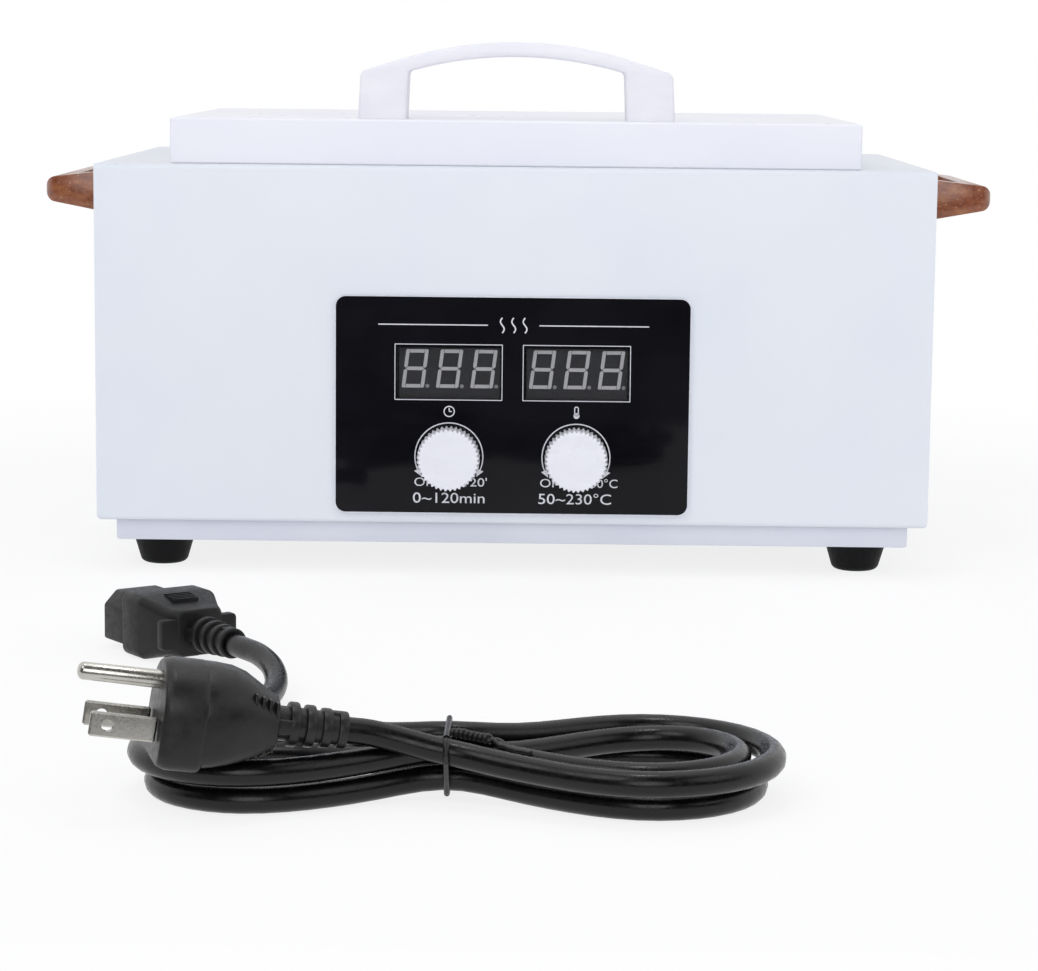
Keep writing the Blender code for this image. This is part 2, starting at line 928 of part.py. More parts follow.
def make_potentiometers():
    body_depth = board_y - gap - (front_y + sheet + gap)
    bush = sheet + gap + bush_reach
    bore_depth = shaft_depth + 2 * gap
    profile = (
        (shaft_bore, body_depth + bush),
        (bush_radius, body_depth + bush),
        (bush_radius, body_depth),
        (pot_radius, body_depth),
        (pot_radius, 0.0),
        (0.0, 0.0),
        (0.0, body_depth - bore_depth),
        (shaft_bore, body_depth - bore_depth),
    )
    for (side, _), x in zip(sides, display_xs):
        turned(side + "_potentiometer", profile, (x, board_y - gap, knob_z), (0, -1, 0),
               "black_plastic")


def make_board():
    low = (-board_width / 2, board_y, board_z)
    board = block("control_board", low, (board_width / 2, board_rear_y, board_z + board_height),
                  "green_board")
    corners = [
        (sx * (board_width / 2 - board_edge), z)
        for sx in (-1, 1)
        for z in (board_z + board_edge, board_z + board_height - board_edge)
    ]
    stand = front_y + sheet + gap
    posts = [((x, stand, z), (x, board_y + board_thickness / 2, z)) for x, z in corners]
    cut(board, rods("board_posts", posts, standoff_radius, None, 6), "UNION")
    parts_y = board_rear_y + gap
    part_z = board_z + board_part_height
    w, h, d = transformer_coil
    coil = (
        (transformer_place - w / 2, parts_y, part_z - h / 2),
        (transformer_place + w / 2, parts_y + d, part_z + h / 2),
    )
    core_y = parts_y + (d - transformer_core[2]) / 2
    w, h, d = transformer_core
    transformer = block("transformer", (transformer_place - w / 2, core_y, part_z - h / 2),
                        (transformer_place + w / 2, core_y + d, part_z + h / 2), "zinc_steel")
    cut(transformer, block("transformer_coil", *coil, None), "UNION")
    w, h, d = terminal_size
    terminal = block("terminal_block", (terminal_place - w / 2, parts_y, part_z - h / 2),
                     (terminal_place + w / 2, parts_y + d, part_z + h / 2), "blue_plastic")
    pitch = w / terminal_count
    entries = [
        (terminal_place + (i - (terminal_count - 1) / 2) * pitch, parts_y + d, part_z)
        for i in range(terminal_count)
    ]
    holes(terminal, "terminal_entries", entries, (0, 1, 0), terminal_entry, 2 * overrun)
    return entries


# Chamber

def make_tank():
    """Drawn tank, its inner face first; the rim lies on the casing's top."""
    flat_w = tank_width - 2 * tank_floor_round
    flat_l = tank_length - 2 * tank_floor_round
    slope = tank_floor_round * (1 - math.cos(math.pi / 4))
    levels = (
        (flat_w, flat_l, tank_corner - tank_floor_round, tank_floor_z),
        (tank_width - 2 * slope, tank_length - 2 * slope, tank_corner - slope,
         tank_floor_z + slope),
        (tank_width, tank_length, tank_corner, tank_floor_z + tank_floor_round),
        (tank_width, tank_length, tank_corner, rim_z),
        (tank_width + 2 * tank_rim, tank_length + 2 * tank_rim, tank_corner + tank_rim, rim_z),
    )
    rings = [
        ring_at(rounded_rectangle(width, length, radius), 0, tank_y, z)
        for width, length, radius, z in levels
    ]
    tank = loft("chamber_tank", rings, "stainless_steel", (True, False))
    thicken(tank, tank_wall, True)


def make_heater():
    under = tank_floor_z - tank_wall - gap
    heater_z = under - heater_thickness
    block("heater_plate", (-heater_width / 2, tank_y - heater_length / 2, heater_z),
          (heater_width / 2, tank_y + heater_length / 2, under), "silicone_red")
    probe_z = heater_z - gap - probe_radius
    rods("temperature_probe",
         [((sensor_place, tank_y - probe_length / 2, probe_z),
           (sensor_place, tank_y + probe_length / 2, probe_z))],
         probe_radius, "stainless_steel", 16)
    return heater_z


def make_jacket(heater_z):
    """Insulation round the tank and below it, held up by a sheet cradle."""
    inner_w = tank_width + 2 * (tank_wall + gap)
    inner_l = tank_length + 2 * (tank_wall + gap)
    corner = tank_corner + tank_wall + gap
    outer_w = inner_w + 2 * jacket_wall
    outer_l = inner_l + 2 * jacket_wall
    floor_z = heater_z - gap
    bottom_z = floor_z - 2 * probe_radius - jacket_floor
    inner = rounded_rectangle(inner_w, inner_l, corner)
    outer = rounded_rectangle(outer_w, outer_l, corner + jacket_wall)
    rings = [
        ring_at(outer, 0, tank_y, bottom_z),
        ring_at(outer, 0, tank_y, under_top_z),
        ring_at(inner, 0, tank_y, under_top_z),
        ring_at(inner, 0, tank_y, floor_z),
    ]
    jacket = loft("insulation_jacket", rings, "mineral_wool")
    room = probe_radius + gap
    cut(jacket, block(
        "probe_groove",
        (sensor_place - room, tank_y - probe_length / 2 - gap, floor_z - 2 * room),
        (sensor_place + room, tank_y + probe_length / 2 + gap, floor_z + overrun),
        None,
    ))
    half = cradle_thickness / 2
    front = tank_y - outer_l / 2 - gap - half
    rear = tank_y + outer_l / 2 + gap + half
    low = bottom_z - gap - half
    high = under_top_z - half
    outline = bent_strip(
        (
            (front - cradle_foot, high), (front, high), (front, low), (rear, low), (rear, high),
            (rear + cradle_foot, high),
        ),
        (cradle_thickness,) * 4,
        cradle_thickness,
    )
    cradle = flat("jacket_cradle", [outline], cradle_width, "YZ", (0, 0, 0), "zinc_steel")
    window = rounded_rectangle(cradle_window, cradle_window_length, cradle_foot)
    cut(cradle, flat("cradle_window", [window], 4 * cradle_thickness, "XY", (0, tank_y, low), None))


def make_tray():
    """Perforated tray on four short feet, with a small rolled lip."""
    floor_z = tank_floor_z + gap + tray_stand
    levels = (
        (tray_width - tray_corner / 2, tray_length - tray_corner / 2, tray_corner * 0.75, floor_z),
        (tray_width, tray_length, tray_corner, floor_z + tray_corner / 4),
        (tray_width, tray_length, tray_corner, floor_z + tray_height),
        (tray_width + 2 * tray_lip, tray_length + 2 * tray_lip, tray_corner + tray_lip,
         floor_z + tray_height),
    )
    rings = [
        ring_at(rounded_rectangle(width, length, radius, 3), 0, tank_y, z)
        for width, length, radius, z in levels
    ]
    tray = loft("instrument_tray", rings, "stainless_steel", (True, False))
    thicken(tray, tray_wall, False)
    slots = []
    span = tray_width - 2 * (ring_inset + saddle_width + tray_corner)
    column_pitch = span / slot_columns
    for i in range(slot_columns):
        for j in range(slot_rows):
            x = (i - (slot_columns - 1) / 2) * column_pitch
            y = tank_y + (j - (slot_rows - 1) / 2) * slot_pitch
            slots.append((
                (x - slot_length / 2, y - slot_width / 2, floor_z - overrun),
                (x + slot_length / 2, y + slot_width / 2, floor_z + overrun),
            ))
    cut(tray, blocks("tray_slots", slots, None))
    foot_x = tray_width / 2 - tray_foot_inset
    foot_y = tray_length / 2 - tray_foot_inset
    low = tank_floor_z + gap
    ends = [
        (
            (sx * foot_x, tank_y + sy * foot_y, low),
            (sx * foot_x, tank_y + sy * foot_y, floor_z + tray_wall / 2),
        )
        for sx in (-1, 1)
        for sy in (-1, 1)
    ]
    cut(tray, rods("tray_feet", ends, tray_foot_radius, None, 16), "UNION")
    return tray, floor_z + tray_wall


def make_rings(tray, floor_z):
    """Split rings lying on the tray floor, each pivoting in a saddle strap."""
    axis_z = floor_z + gap + ring_wire
    pivot_x = tray_width / 2 - ring_inset
    for name, side in (("left_lift_ring", -1), ("right_lift_ring", 1)):
        split = math.tau / ring_sides / 3
        sweep = math.tau - split
        start = math.pi * 0.75
        points = [
            (
                -side * ring_radius + ring_radius * math.cos(start + sweep * i / ring_sides),
                ring_radius * math.sin(start + sweep * i / ring_sides),
                0.0,
            )
            for i in range(ring_sides + 1)
        ]
        ring = tube(name, points, ring_wire, "nickel", 1)
        ring.location = (side * pivot_x, tank_y, axis_z)
    half = saddle_strap / 2
    low = floor_z + half - saddle_strap / 4
    over = axis_z + saddle_bore + half
    reach = saddle_bore + half
    outline = bent_strip(
        (
            (-reach - saddle_foot, low), (-reach, low), (-reach, over), (reach, over), (reach, low),
            (reach + saddle_foot, low),
        ),
        (half, saddle_bore * 0.8, saddle_bore * 0.8, half),
        saddle_strap,
    )
    for word, side in sides:
        saddle = flat(word + "_saddle", [outline], saddle_width, "XZ",
                      (side * pivot_x, tank_y, 0), None)
        cut(tray, saddle, "UNION")


# Lid and hinges

def make_lid():
    low = (-lid_width / 2, lid_front_y, lid_bottom_z)
    high = (lid_width / 2, lid_rear_y, lid_top_z)
    cover = shell("lid_cover", low, high, lid_sheet, ((0, 0, -1),), "white_lid_coat", lid_edge_round)
    seats = [(x, handle_y, lid_top_z) for x in bow_legs_x]
    holes(cover, "lid_stud_holes", seats, (0, 0, 1), stud_hole, 2 * overrun)
    side = lid_sheet + gap
    low = (-lid_width / 2 + side, lid_front_y + side, liner_z)
    high = (lid_width / 2 - side, lid_rear_y - side, liner_z + liner_flange)
    shell("lid_liner", low, high, liner_sheet, ((0, 0, 1),), "stainless_steel")
    inner = side + liner_sheet + gap
    low = (-lid_width / 2 + inner, lid_front_y + inner, liner_z + liner_sheet + gap)
    high = (lid_width / 2 - inner, lid_rear_y - inner, lid_top_z - lid_sheet - gap)
    wool = block("lid_insulation", low, high, "mineral_wool")
    holes(wool, "wool_stud_holes", seats, (0, 0, 1), wool_hole, lid_height)
    outer_seal = rounded_rectangle(tank_width + 2 * tank_rim, tank_length + 2 * tank_rim,
                                   tank_corner + tank_rim)
    inner_seal = rounded_rectangle(
        tank_width + 2 * (tank_rim - seal_width), tank_length + 2 * (tank_rim - seal_width),
        tank_corner + tank_rim - seal_width,
    )
    flat("lid_seal", [outer_seal, list(reversed(inner_seal))], seal_thickness, "XY",
         (0, tank_y, liner_z - gap - seal_thickness / 2), "silicone_red")


def make_lid_handle():
    """Bow handle: straight legs, sloping shoulders and an arched grip."""
    outer_rise = handle_peak - handle_knee_height
    half_knee = handle_knee_width / 2
    outer_radius = (half_knee ** 2 + outer_rise ** 2) / (2 * outer_rise)
    outer_sweep = math.degrees(math.asin(half_knee / outer_radius))
    inner_rise = handle_opening_peak - handle_opening_side
    half_top = handle_opening_top / 2
    inner_radius = (half_top ** 2 + inner_rise ** 2) / (2 * inner_rise)
    inner_sweep = math.degrees(math.asin(half_top / inner_radius))
    shoulder = handle_round
    outline = [
        (-handle_width / 2, 0.0),
        (-handle_opening / 2, 0.0),
        *reversed(arc(0, handle_opening_peak - inner_radius, inner_radius, 90 - inner_sweep,
                      90 + inner_sweep, handle_arc_steps)),
        (handle_opening / 2, 0.0),
        (handle_width / 2, 0.0),
        (handle_top_width / 2, handle_leg_height - shoulder),
        (handle_top_width / 2 - shoulder, handle_leg_height + shoulder / 3),
        *arc(0, handle_peak - outer_radius, outer_radius, 90 - outer_sweep, 90 + outer_sweep,
             handle_arc_steps),
        (-handle_top_width / 2 + shoulder, handle_leg_height + shoulder / 3),
        (-handle_top_width / 2, handle_leg_height - shoulder),
    ]
    bow = flat("lid_handle", [outline], handle_thickness, "XZ",
               (0, handle_y, lid_top_z + gap), "white_plastic")
    round_edges(bow, handle_round, 2, 50.0)
    ends = [
        ((x, handle_y, lid_top_z - lid_sheet - stud_length), (x, handle_y, lid_top_z + stud_root))
        for x in bow_legs_x
    ]
    cut(bow, rods("bow_studs", ends, stud_radius, None, 12), "UNION")


def make_leaf(name, x, direction, height, plate_near, middle):
    """Half of a butt hinge: a plate with its share of the barrel."""
    knuckle = hinge_width * knuckle_share
    half = hinge_width / 2
    z_end = hinge_z + direction * height
    leaf = block(name, (x - half, plate_near, min(hinge_z, z_end)),
                 (x + half, plate_near + hinge_leaf, max(hinge_z, z_end)), "zinc_steel")
    barrel = [((x - half, hinge_y, hinge_z), (x + half, hinge_y, hinge_z))]
    cut(leaf, rods(name + "_barrel", barrel, hinge_barrel, None, 20), "UNION")
    bore = [((x - hinge_width, hinge_y, hinge_z), (x + hinge_width, hinge_y, hinge_z))]
    cut(leaf, rods(name + "_bore", bore, hinge_bore, None, 16))
    reach = hinge_barrel + gap
    if middle:
        spans = [
            (x - half - overrun, x - knuckle / 2 + gap / 2),
            (x + knuckle / 2 - gap / 2, x + half + overrun),
        ]
    else:
        spans = [(x - knuckle / 2 - gap / 2, x + knuckle / 2 + gap / 2)]
    clear = [
        ((a, hinge_y - reach, hinge_z - reach), (b, hinge_y + reach, hinge_z + reach))
        for a, b in spans
    ]
    cut(leaf, blocks(name + "_notches", clear, None))


def make_hinges():
    for word, side in sides:
        x = side * hinge_place
        make_leaf(word + "_hinge_lid_leaf", x, 1, lid_leaf_height, lid_rear_y + gap, True)
        make_leaf(word + "_hinge_case_leaf", x, -1, case_leaf_height, rear_y + gap, False)
        ends = [((x - hinge_width / 2, hinge_y, hinge_z), (x + hinge_width / 2, hinge_y, hinge_z))]
        rods(word + "_hinge_pin", ends, hinge_pin, "stainless_steel", 12)


# Side handles

def make_grip(name, side):
    """A moulded loop with finger room, thinner towards its outer bar."""
    half = grip_strip / 2
    end = grip_length / 2 - half
    bar = grip_reach - half
    root = gap
    centre = grip_bend + half
    outline = bent_strip(
        ((root, -end), (bar, -end), (bar, end), (root, end)), (centre, centre), grip_strip
    )
    if side < 0:
        outline = [(-u, v) for u, v in reversed(outline)]
    grip = flat(name, [outline], grip_root, "XY", (0, 0, 0), "brown_bakelite")
    for corner in grip.data.vertices:
        share = abs(corner.co.x) / grip_reach
        corner.co.z *= 1 - share * (1 - grip_tip / grip_root)
        corner.co.z += share * grip_tip_lift
    grip.location = (side * half_width, grip_y, grip_z)
    round_edges(grip, grip_round, 3, 50.0)
    inner = side * (half_width - sheet - stud_length)
    ends = [
        ((inner, y, grip_z), (side * (half_width + stud_root), y, grip_z)) for y in grip_legs_y
    ]
    cut(grip, rods(name + "_studs", ends, stud_radius, None, 12), "UNION")


# Rear inlet with fuse drawer

def make_inlet():
    z = inlet_z
    body = block(
        "inlet_housing",
        (inlet_place - inlet_body_width / 2, flange_y - inlet_body_depth, z - inlet_body_height / 2),
        (inlet_place + inlet_body_width / 2, flange_y + flange_thickness / 2,
         z + inlet_body_height / 2),
        "black_plastic",
    )
    flange = flat(
        "inlet_flange", [rounded_rectangle(flange_width, flange_height, 3 * flange_round)],
        flange_thickness, "XZ", (inlet_place, flange_y + flange_thickness / 2, z), None,
    )
    cut(body, flange, "UNION")
    half_w = socket_width / 2
    half_h = socket_height / 2
    socket = [
        (-half_w, -half_h), (half_w, -half_h), (half_w, half_h - socket_chamfer),
        (half_w - socket_chamfer, half_h), (-half_w + socket_chamfer, half_h),
        (-half_w, half_h - socket_chamfer),
    ]
    socket_z = z + socket_rise
    mouth_y = flange_y + flange_thickness
    depth = socket_depth + overrun
    cut(body, flat("inlet_socket", [socket], depth, "XZ",
                   (inlet_place, mouth_y - socket_depth + depth / 2, socket_z), None))
    floor_y = mouth_y - socket_depth
    blade_zs = (socket_z - blade_offset, socket_z + blade_offset, socket_z - blade_offset)
    blade_xs = (inlet_place - blade_spacing / 2, inlet_place, inlet_place + blade_spacing / 2)
    blades = [
        (
            (x - blade_width / 2, flange_y - inlet_body_depth - blade_tab, bz - blade_height / 2),
            (x + blade_width / 2, floor_y + blade_proud, bz + blade_height / 2),
        )
        for x, bz in zip(blade_xs, blade_zs)
    ]
    cut(body, blocks("inlet_blades", blades, None), "UNION")
    drawer_z = z - drawer_drop
    room = 2 * gap
    cut(body, block(
        "drawer_bay",
        (inlet_place - drawer_width / 2 - room, mouth_y - drawer_depth - drawer_face - room,
         drawer_z - drawer_height / 2 - room),
        (inlet_place + drawer_width / 2 + room, mouth_y + overrun,
         drawer_z + drawer_height / 2 + room),
        None,
    ))
    blade_end_y = flange_y - inlet_body_depth - blade_tab
    return [(x, blade_end_y, bz) for x, bz in zip(blade_xs, blade_zs)]


def make_fuse_drawer():
    mouth_y = flange_y + flange_thickness
    z = inlet_z - drawer_drop
    drawer = block(
        "fuse_drawer",
        (inlet_place - drawer_width / 2, mouth_y - drawer_depth, z - drawer_height / 2),
        (inlet_place + drawer_width / 2, mouth_y + gap + drawer_face / 2, z + drawer_height / 2),
        "black_plastic",
    )
    face = block(
        "drawer_front",
        (inlet_place - flange_width / 2 + flange_round, mouth_y + gap, z - drawer_face_height / 2),
        (inlet_place + flange_width / 2 - flange_round, mouth_y + gap + drawer_face,
         z + drawer_face_height / 2),
        None,
    )
    cut(drawer, face, "UNION")
    pockets = []
    centres = []
    floor_z = z - drawer_height / 2 + drawer_floor
    for i in range(2):
        y = mouth_y - fuse_first - i * fuse_pitch
        centres.append((y, floor_z + gap + fuse_radius))
        pockets.append((
            (inlet_place - fuse_length / 2 - 2 * gap, y - fuse_radius - gap, floor_z),
            (inlet_place + fuse_length / 2 + 2 * gap, y + fuse_radius + gap,
             z + drawer_height / 2 + overrun),
        ))
    cut(drawer, blocks("fuse_pockets", pockets, None))
    outside = mouth_y + gap + drawer_face
    notch = rods("drawer_notch",
                 [((inlet_place, outside, z + drawer_face_height / 2),
                   (inlet_place, outside, z + drawer_face_height / 2 - notch_radius))],
                 notch_radius, None, 16)
    cut(drawer, notch)
    for word, (y, fuse_z) in zip(("rear", "front"), centres):
        half = fuse_length / 2
        bare = half - fuse_cap_length
        fuse_profile = (
            (0.0, half), (fuse_radius, half), (fuse_radius, bare), (fuse_glass_radius, bare),
            (fuse_glass_radius, -bare), (fuse_radius, -bare), (fuse_radius, -half), (0.0, -half),
        )
        turned(word + "_fuse", fuse_profile, (inlet_place, y, fuse_z), (1, 0, 0), "nickel", 16)


def make_wires(blade_ends, entries):
    """Mains wires from the inlet to the board, and the earth wire to the rear panel."""
    bottom = shell_z + base_inside_lip + wire_spread
    left = min(entry[0] for entry in entries)
    lines = []
    for k, (end, entry) in enumerate(((blade_ends[0], entries[0]), (blade_ends[2], entries[1]))):
        x, y, z = end
        low = bottom + k * wire_spread
        lines.append([
            (x, y - wire_radius, z),
            (x, y - wire_spread * 0.75, z),
            (x, y - 2.5 * wire_spread, z - wire_spread),
            (x + wire_spread, y - 4 * wire_spread, (z + low) / 2),
            (x / 2 + left / 2, tank_y - k * wire_spread, low),
            (entry[0], entry[1] + 5 * wire_spread, low + wire_spread),
            (entry[0], entry[1] + 2 * wire_spread, entry[2]),
            (entry[0], entry[1] + gap, entry[2]),
        ])
    for name, line in zip(("live_wire", "neutral_wire"), lines):
        tube(name, smooth_line(line, 8 * wire_radius), wire_radius, "wire_brown", 1)
    x, y, z = blade_ends[1]
    earth = [
        (x, y - wire_radius, z),
        (x, y - wire_spread / 2, z),
        (x + wire_spread * 0.75, y - 1.25 * wire_spread, z + wire_spread / 2),
        (x + 3 * wire_spread, y - 1.25 * wire_spread, z + wire_spread / 2),
        (x + 5 * wire_spread, y + wire_spread, z),
        (x + 6 * wire_spread, y + 3 * wire_spread, z - wire_spread),
        (x + 6 * wire_spread, rear_sheet_y - sheet - gap, z - wire_spread),
    ]
    tube("earth_wire", smooth_line(earth, 8 * wire_radius), wire_radius, "wire_green", 1)


# Mains lead

hank_centre = Vector((hank_x, front_y - hank_forward, 0.0))


def hank_place(turns):
    """A point on the hank's line, in turns from the middle of its rear run, clockwise from above."""
    inward = hank_pitch * (hank_reversal - abs(turns - hank_reversal)) + hank_pitch / 4
    lobe = hank_lobe - inward
    waist = hank_waist - inward
    half_run = hank_run_share / 2
    part = (turns + half_run) % 1.0
    side = 1.0 if part < 0.5 else -1.0
    part %= 0.5
    if part < hank_run_share:
        x = hank_reach * (2 * part / hank_run_share - 1)
        y = waist + (lobe - waist) * (1 - math.cos(math.pi * x / hank_reach)) / 2
    else:
        angle = math.pi / 2 - math.pi * (part - hank_run_share) / (0.5 - hank_run_share)
        x = hank_reach + lobe * math.cos(angle)
        y = lobe * math.sin(angle)
    climb = min(1.0, max(0.0, 2 * (turns - hank_reversal) + 0.5))
    rise = hank_layer * climb * climb * (3 - 2 * climb)
    hump = hump_height * math.exp(-((x / hump_length) ** 2))
    z = cord_floor + cord_radius + rise + hump
    return hank_centre + Vector((side * x, side * y, z))


def cord_line():
    """The whole cord from the connector to the plug, and where its hank starts and ends."""
    lead = [hank_centre + Vector(p) for p in lead_route]
    tail = [hank_centre + Vector(p) for p in tail_route]
    count = round((hank_end - hank_start) * hank_points)
    hank = [
        hank_place(hank_start + (hank_end - hank_start) * i / count) for i in range(count + 1)
    ]
    return lead, hank, tail


def end_gap(points, at_start, at_end):
    """Moves a line's ends back along it to leave a gap."""
    made = [p.copy() for p in points]
    if at_start:
        made[0] += (made[1] - made[0]).normalized() * cord_end_gap
    if at_end:
        made[-1] += (made[-2] - made[-1]).normalized() * cord_end_gap
    return made


def least_gap(points):
    """The least distance between parts of the cord that aren't neighbours, less its diameter."""
    fine = np.array([p for p in smooth_line(points, cord_radius / 2)])
    skip = round(4 * math.pi)
    least = 1.0
    for i in range(0, len(fine) - skip * 2):
        away = np.linalg.norm(fine[i + skip * 2:] - fine[i], axis=1)
        least = min(least, float(away.min()))
    return least - 2 * cord_radius


def make_cord():
    lead, hank, tail = cord_line()
    step = 4.5 * cord_radius
    lead_line = smooth_line([*lead, hank[0]], step)
    tail_line = smooth_line([hank[-1], *tail], step)
    tube("cord_lead", end_gap(lead_line, True, True), cord_radius, "black_cord", 2)
    tube("cord_hank", hank, cord_radius, "black_cord", 1)
    tube("cord_tail", end_gap(tail_line, True, True), cord_radius, "black_cord", 2)
    whole = [*lead, *hank, *tail]
    length = sum((b - a).length for a, b in zip(whole, whole[1:]))
    print(f"cord length {length:.3f} m, least gap of the hank to itself {least_gap(hank) * 1000:.2f} mm")
    return lead_line[0], tail_line[-1]


def relief_profile(length):
    """A ribbed strain relief, tapered towards the cord."""
    bore_end = cord_radius + gap
    profile = [(0.0, length)]
    pitch = (length - relief_collar) / relief_ribs
    for i in range(relief_ribs):
        top = length - i * pitch
        share = 0.78 + 0.22 * i / relief_ribs
        profile += [
            (relief_rib_radius * share, top),
            (relief_rib_radius * share, top - pitch * 0.55),
            (relief_groove_radius * share + bore_end * 0.1, top - pitch * 0.6),
            (relief_groove_radius * share + bore_end * 0.1, top - pitch * 0.95),
        ]
    profile += [(relief_rib_radius, relief_collar), (relief_rib_radius, 0.0), (0.0, 0.0)]
    return profile


def oriented(items, start, turn, tilt=0.0):
    """Turns pieces made along +X about zero to their heading, and moves them to their place."""
    bpy.context.view_layer.update()
    matrix = Matrix.Translation(start) @ Matrix.Rotation(math.radians(turn), 4, "Z")
    matrix @= Matrix.Rotation(math.radians(-tilt), 4, "Y")
    for item in items:
        item.matrix_world = matrix @ item.matrix_world
    bpy.context.view_layer.update()


def cross_ring(x, width, low, high, corner, steps=2):
    """A rounded section across X, for lofts along X."""
    outline = rounded_rectangle(width, high - low, corner, steps)
    return [(x, u, (low + high) / 2 + v) for u, v in outline]


def make_connector(start):
    """Appliance connector, from its strain relief to its contact block, along +X."""
    relief = turned("connector_relief", relief_profile(relief_length), (relief_length, 0, 0),
                    (-1, 0, 0), None, 16)
    x = relief_length - relief_collar / 2
    grip_end = x + connector_grip_length
    neck_w, neck_h = connector_neck_width, connector_neck_height
    full_w, full_h = connector_width, connector_height
    rings = [
        cross_ring(x, neck_w * 0.8, -neck_h / 2, neck_h / 2, neck_h / 6),
        cross_ring(x + connector_ear_length, neck_w, -neck_h / 2, neck_h / 2, neck_h / 6),
        cross_ring(x + connector_grip_length * 0.55, full_w, -full_h / 2, full_h / 2, neck_h / 6),
        cross_ring(grip_end, full_w, -full_h / 2, full_h / 2, neck_h / 6),
    ]
    body = loft("connector_body", rings, "black_rubber")
    ears = block("connector_ears", (x + gap, -connector_ear_width / 2, -neck_h / 3),
                 (x + connector_ear_length, connector_ear_width / 2, neck_h / 3), None)
    cut(body, ears, "UNION")
    cut(body, relief, "UNION")
    half_w = insert_width / 2
    half_h = insert_height / 2
    outline = [
        (-half_w, -half_h), (half_w, -half_h), (half_w, half_h - insert_chamfer),
        (half_w - insert_chamfer, half_h), (-half_w + insert_chamfer, half_h),
        (-half_w, half_h - insert_chamfer),
    ]
    insert = flat("connector_insert", [outline], insert_length + overrun, "YZ",
                  (grip_end + insert_length / 2 - overrun / 2, 0, 0), None)
    cut(body, insert, "UNION")
    face = grip_end + insert_length
    slots = []
    for k, u in enumerate((-blade_spacing / 2, 0.0, blade_spacing / 2)):
        v = contact_offset if k == 1 else -contact_offset
        slots.append((
            (face - contact_slot_depth, u - contact_slot_width / 2, v - contact_slot_height / 2),
            (face + overrun, u + contact_slot_width / 2, v + contact_slot_height / 2),
        ))
    slot_cutter = blocks("connector_slots", slots, None)
    cut(body, slot_cutter)
    oriented([relief, body, ears, insert, slot_cutter], start, connector_turn)


def make_plug(start):
    """Moulded plug with a domed upper side, two flat blades and a round earth pin, along +X."""
    relief = turned("plug_relief", relief_profile(plug_relief_length),
                    (plug_relief_length, 0, 0), (-1, 0, 0), None, 16)
    x = plug_relief_length - relief_collar / 2
    low = -plug_axis_rise
    high = plug_height - plug_axis_rise

    def section(at, width, bottom, top):
        radius = width / 2
        dome = arc(0, top - radius, radius, 0, 180, 10)
        return [(at, u, v) for u, v in [(-radius, bottom), (radius, bottom), *dome]]

    full = plug_body_length
    rings = [
        section(x, plug_neck_width, -plug_neck_width / 2, plug_neck_width / 2),
        section(x + full * (1 - plug_shoulder_share), plug_width * 0.94, low * 0.75, high * 0.98),
        section(x + full * 0.8, plug_width, low * 0.92, high),
        section(x + full, plug_width * 0.97, low, high * 0.97),
    ]
    body = loft("plug_body", rings, "black_rubber")
    cut(body, relief, "UNION")
    face = x + full
    seat = face + gap
    corners = []
    for side in (-1, 1):
        y = side * prong_spacing / 2
        corners.append((
            (seat, y - prong_thickness / 2, -prong_drop - prong_height / 2),
            (seat + prong_length, y + prong_thickness / 2, -prong_drop + prong_height / 2),
        ))
    hole_x = seat + prong_length - prong_hole_inset
    hole = rods("prong_holes",
                [((hole_x, -prong_spacing, -prong_drop), (hole_x, prong_spacing, -prong_drop))],
                prong_hole, None, 12)
    blades = []
    for (word, _), (low_corner, high_corner) in zip(sides, corners):
        blade = block(word + "_plug_blade", low_corner, high_corner, "nickel")
        round_edges(blade, prong_thickness / 3, 1)
        cut(blade, hole)
        blades.append(blade)
    nose = earth_radius * nose_share
    pin_profile = (
        (0.0, earth_length),
        (earth_radius * nose_tip_share, earth_length - nose * nose_crown_share),
        (earth_radius, earth_length - nose), (earth_radius, 0.0), (0.0, 0.0),
    )
    pin = turned("plug_earth_pin", pin_profile, (seat, 0, earth_rise), (1, 0, 0), "nickel", 16)
    oriented([relief, body, *blades, hole, pin], start, plug_turn, plug_tilt)


def make_tie():
    """A wire tie round the waist of the hank, its ends twisted on top."""
    rear = hank_waist - hank_pitch / 4 + cord_radius + tie_clear + tie_radius
    front = hank_waist + hank_pitch / 4 + cord_radius + tie_clear + 2 * tie_radius
    low = tie_radius + cord_floor
    layers = cord_floor + hump_height + hank_layer + 2 * cord_radius
    high = layers + tie_clear + 2 * tie_radius + tie_slack
    middle = (rear - front) / 2
    half_w = (rear + front) / 2
    half_h = (high - low) / 2
    corner = half_h * 0.55
    outline = rounded_rectangle(2 * half_w, 2 * half_h, corner, 5)
    start = len(outline) // 4 - 2
    outline = outline[start:] + outline[:start]
    points = [Vector((0.0, middle + u, low + half_h + v)) for u, v in outline]
    opening = points[0] - points[-1]
    if opening.length > 4 * tie_radius:
        points.append(points[-1] + opening * (1 - 3 * tie_radius / opening.length))
    first = points[0] + Vector((tie_tail * 0.4, tie_tail_spread * 0.3, tie_radius * 3))
    last = points[-1] + Vector((tie_tail, -tie_tail_spread, tie_radius * 3))
    points = [first, points[0] + Vector((2 * tie_radius, 0.0, 0.0)), *points[1:-1],
              points[-1] + Vector((2 * tie_radius, 0.0, tie_radius)), last]
    tube("cord_tie", [hank_centre + p for p in points], tie_radius, "black_rubber", 1)


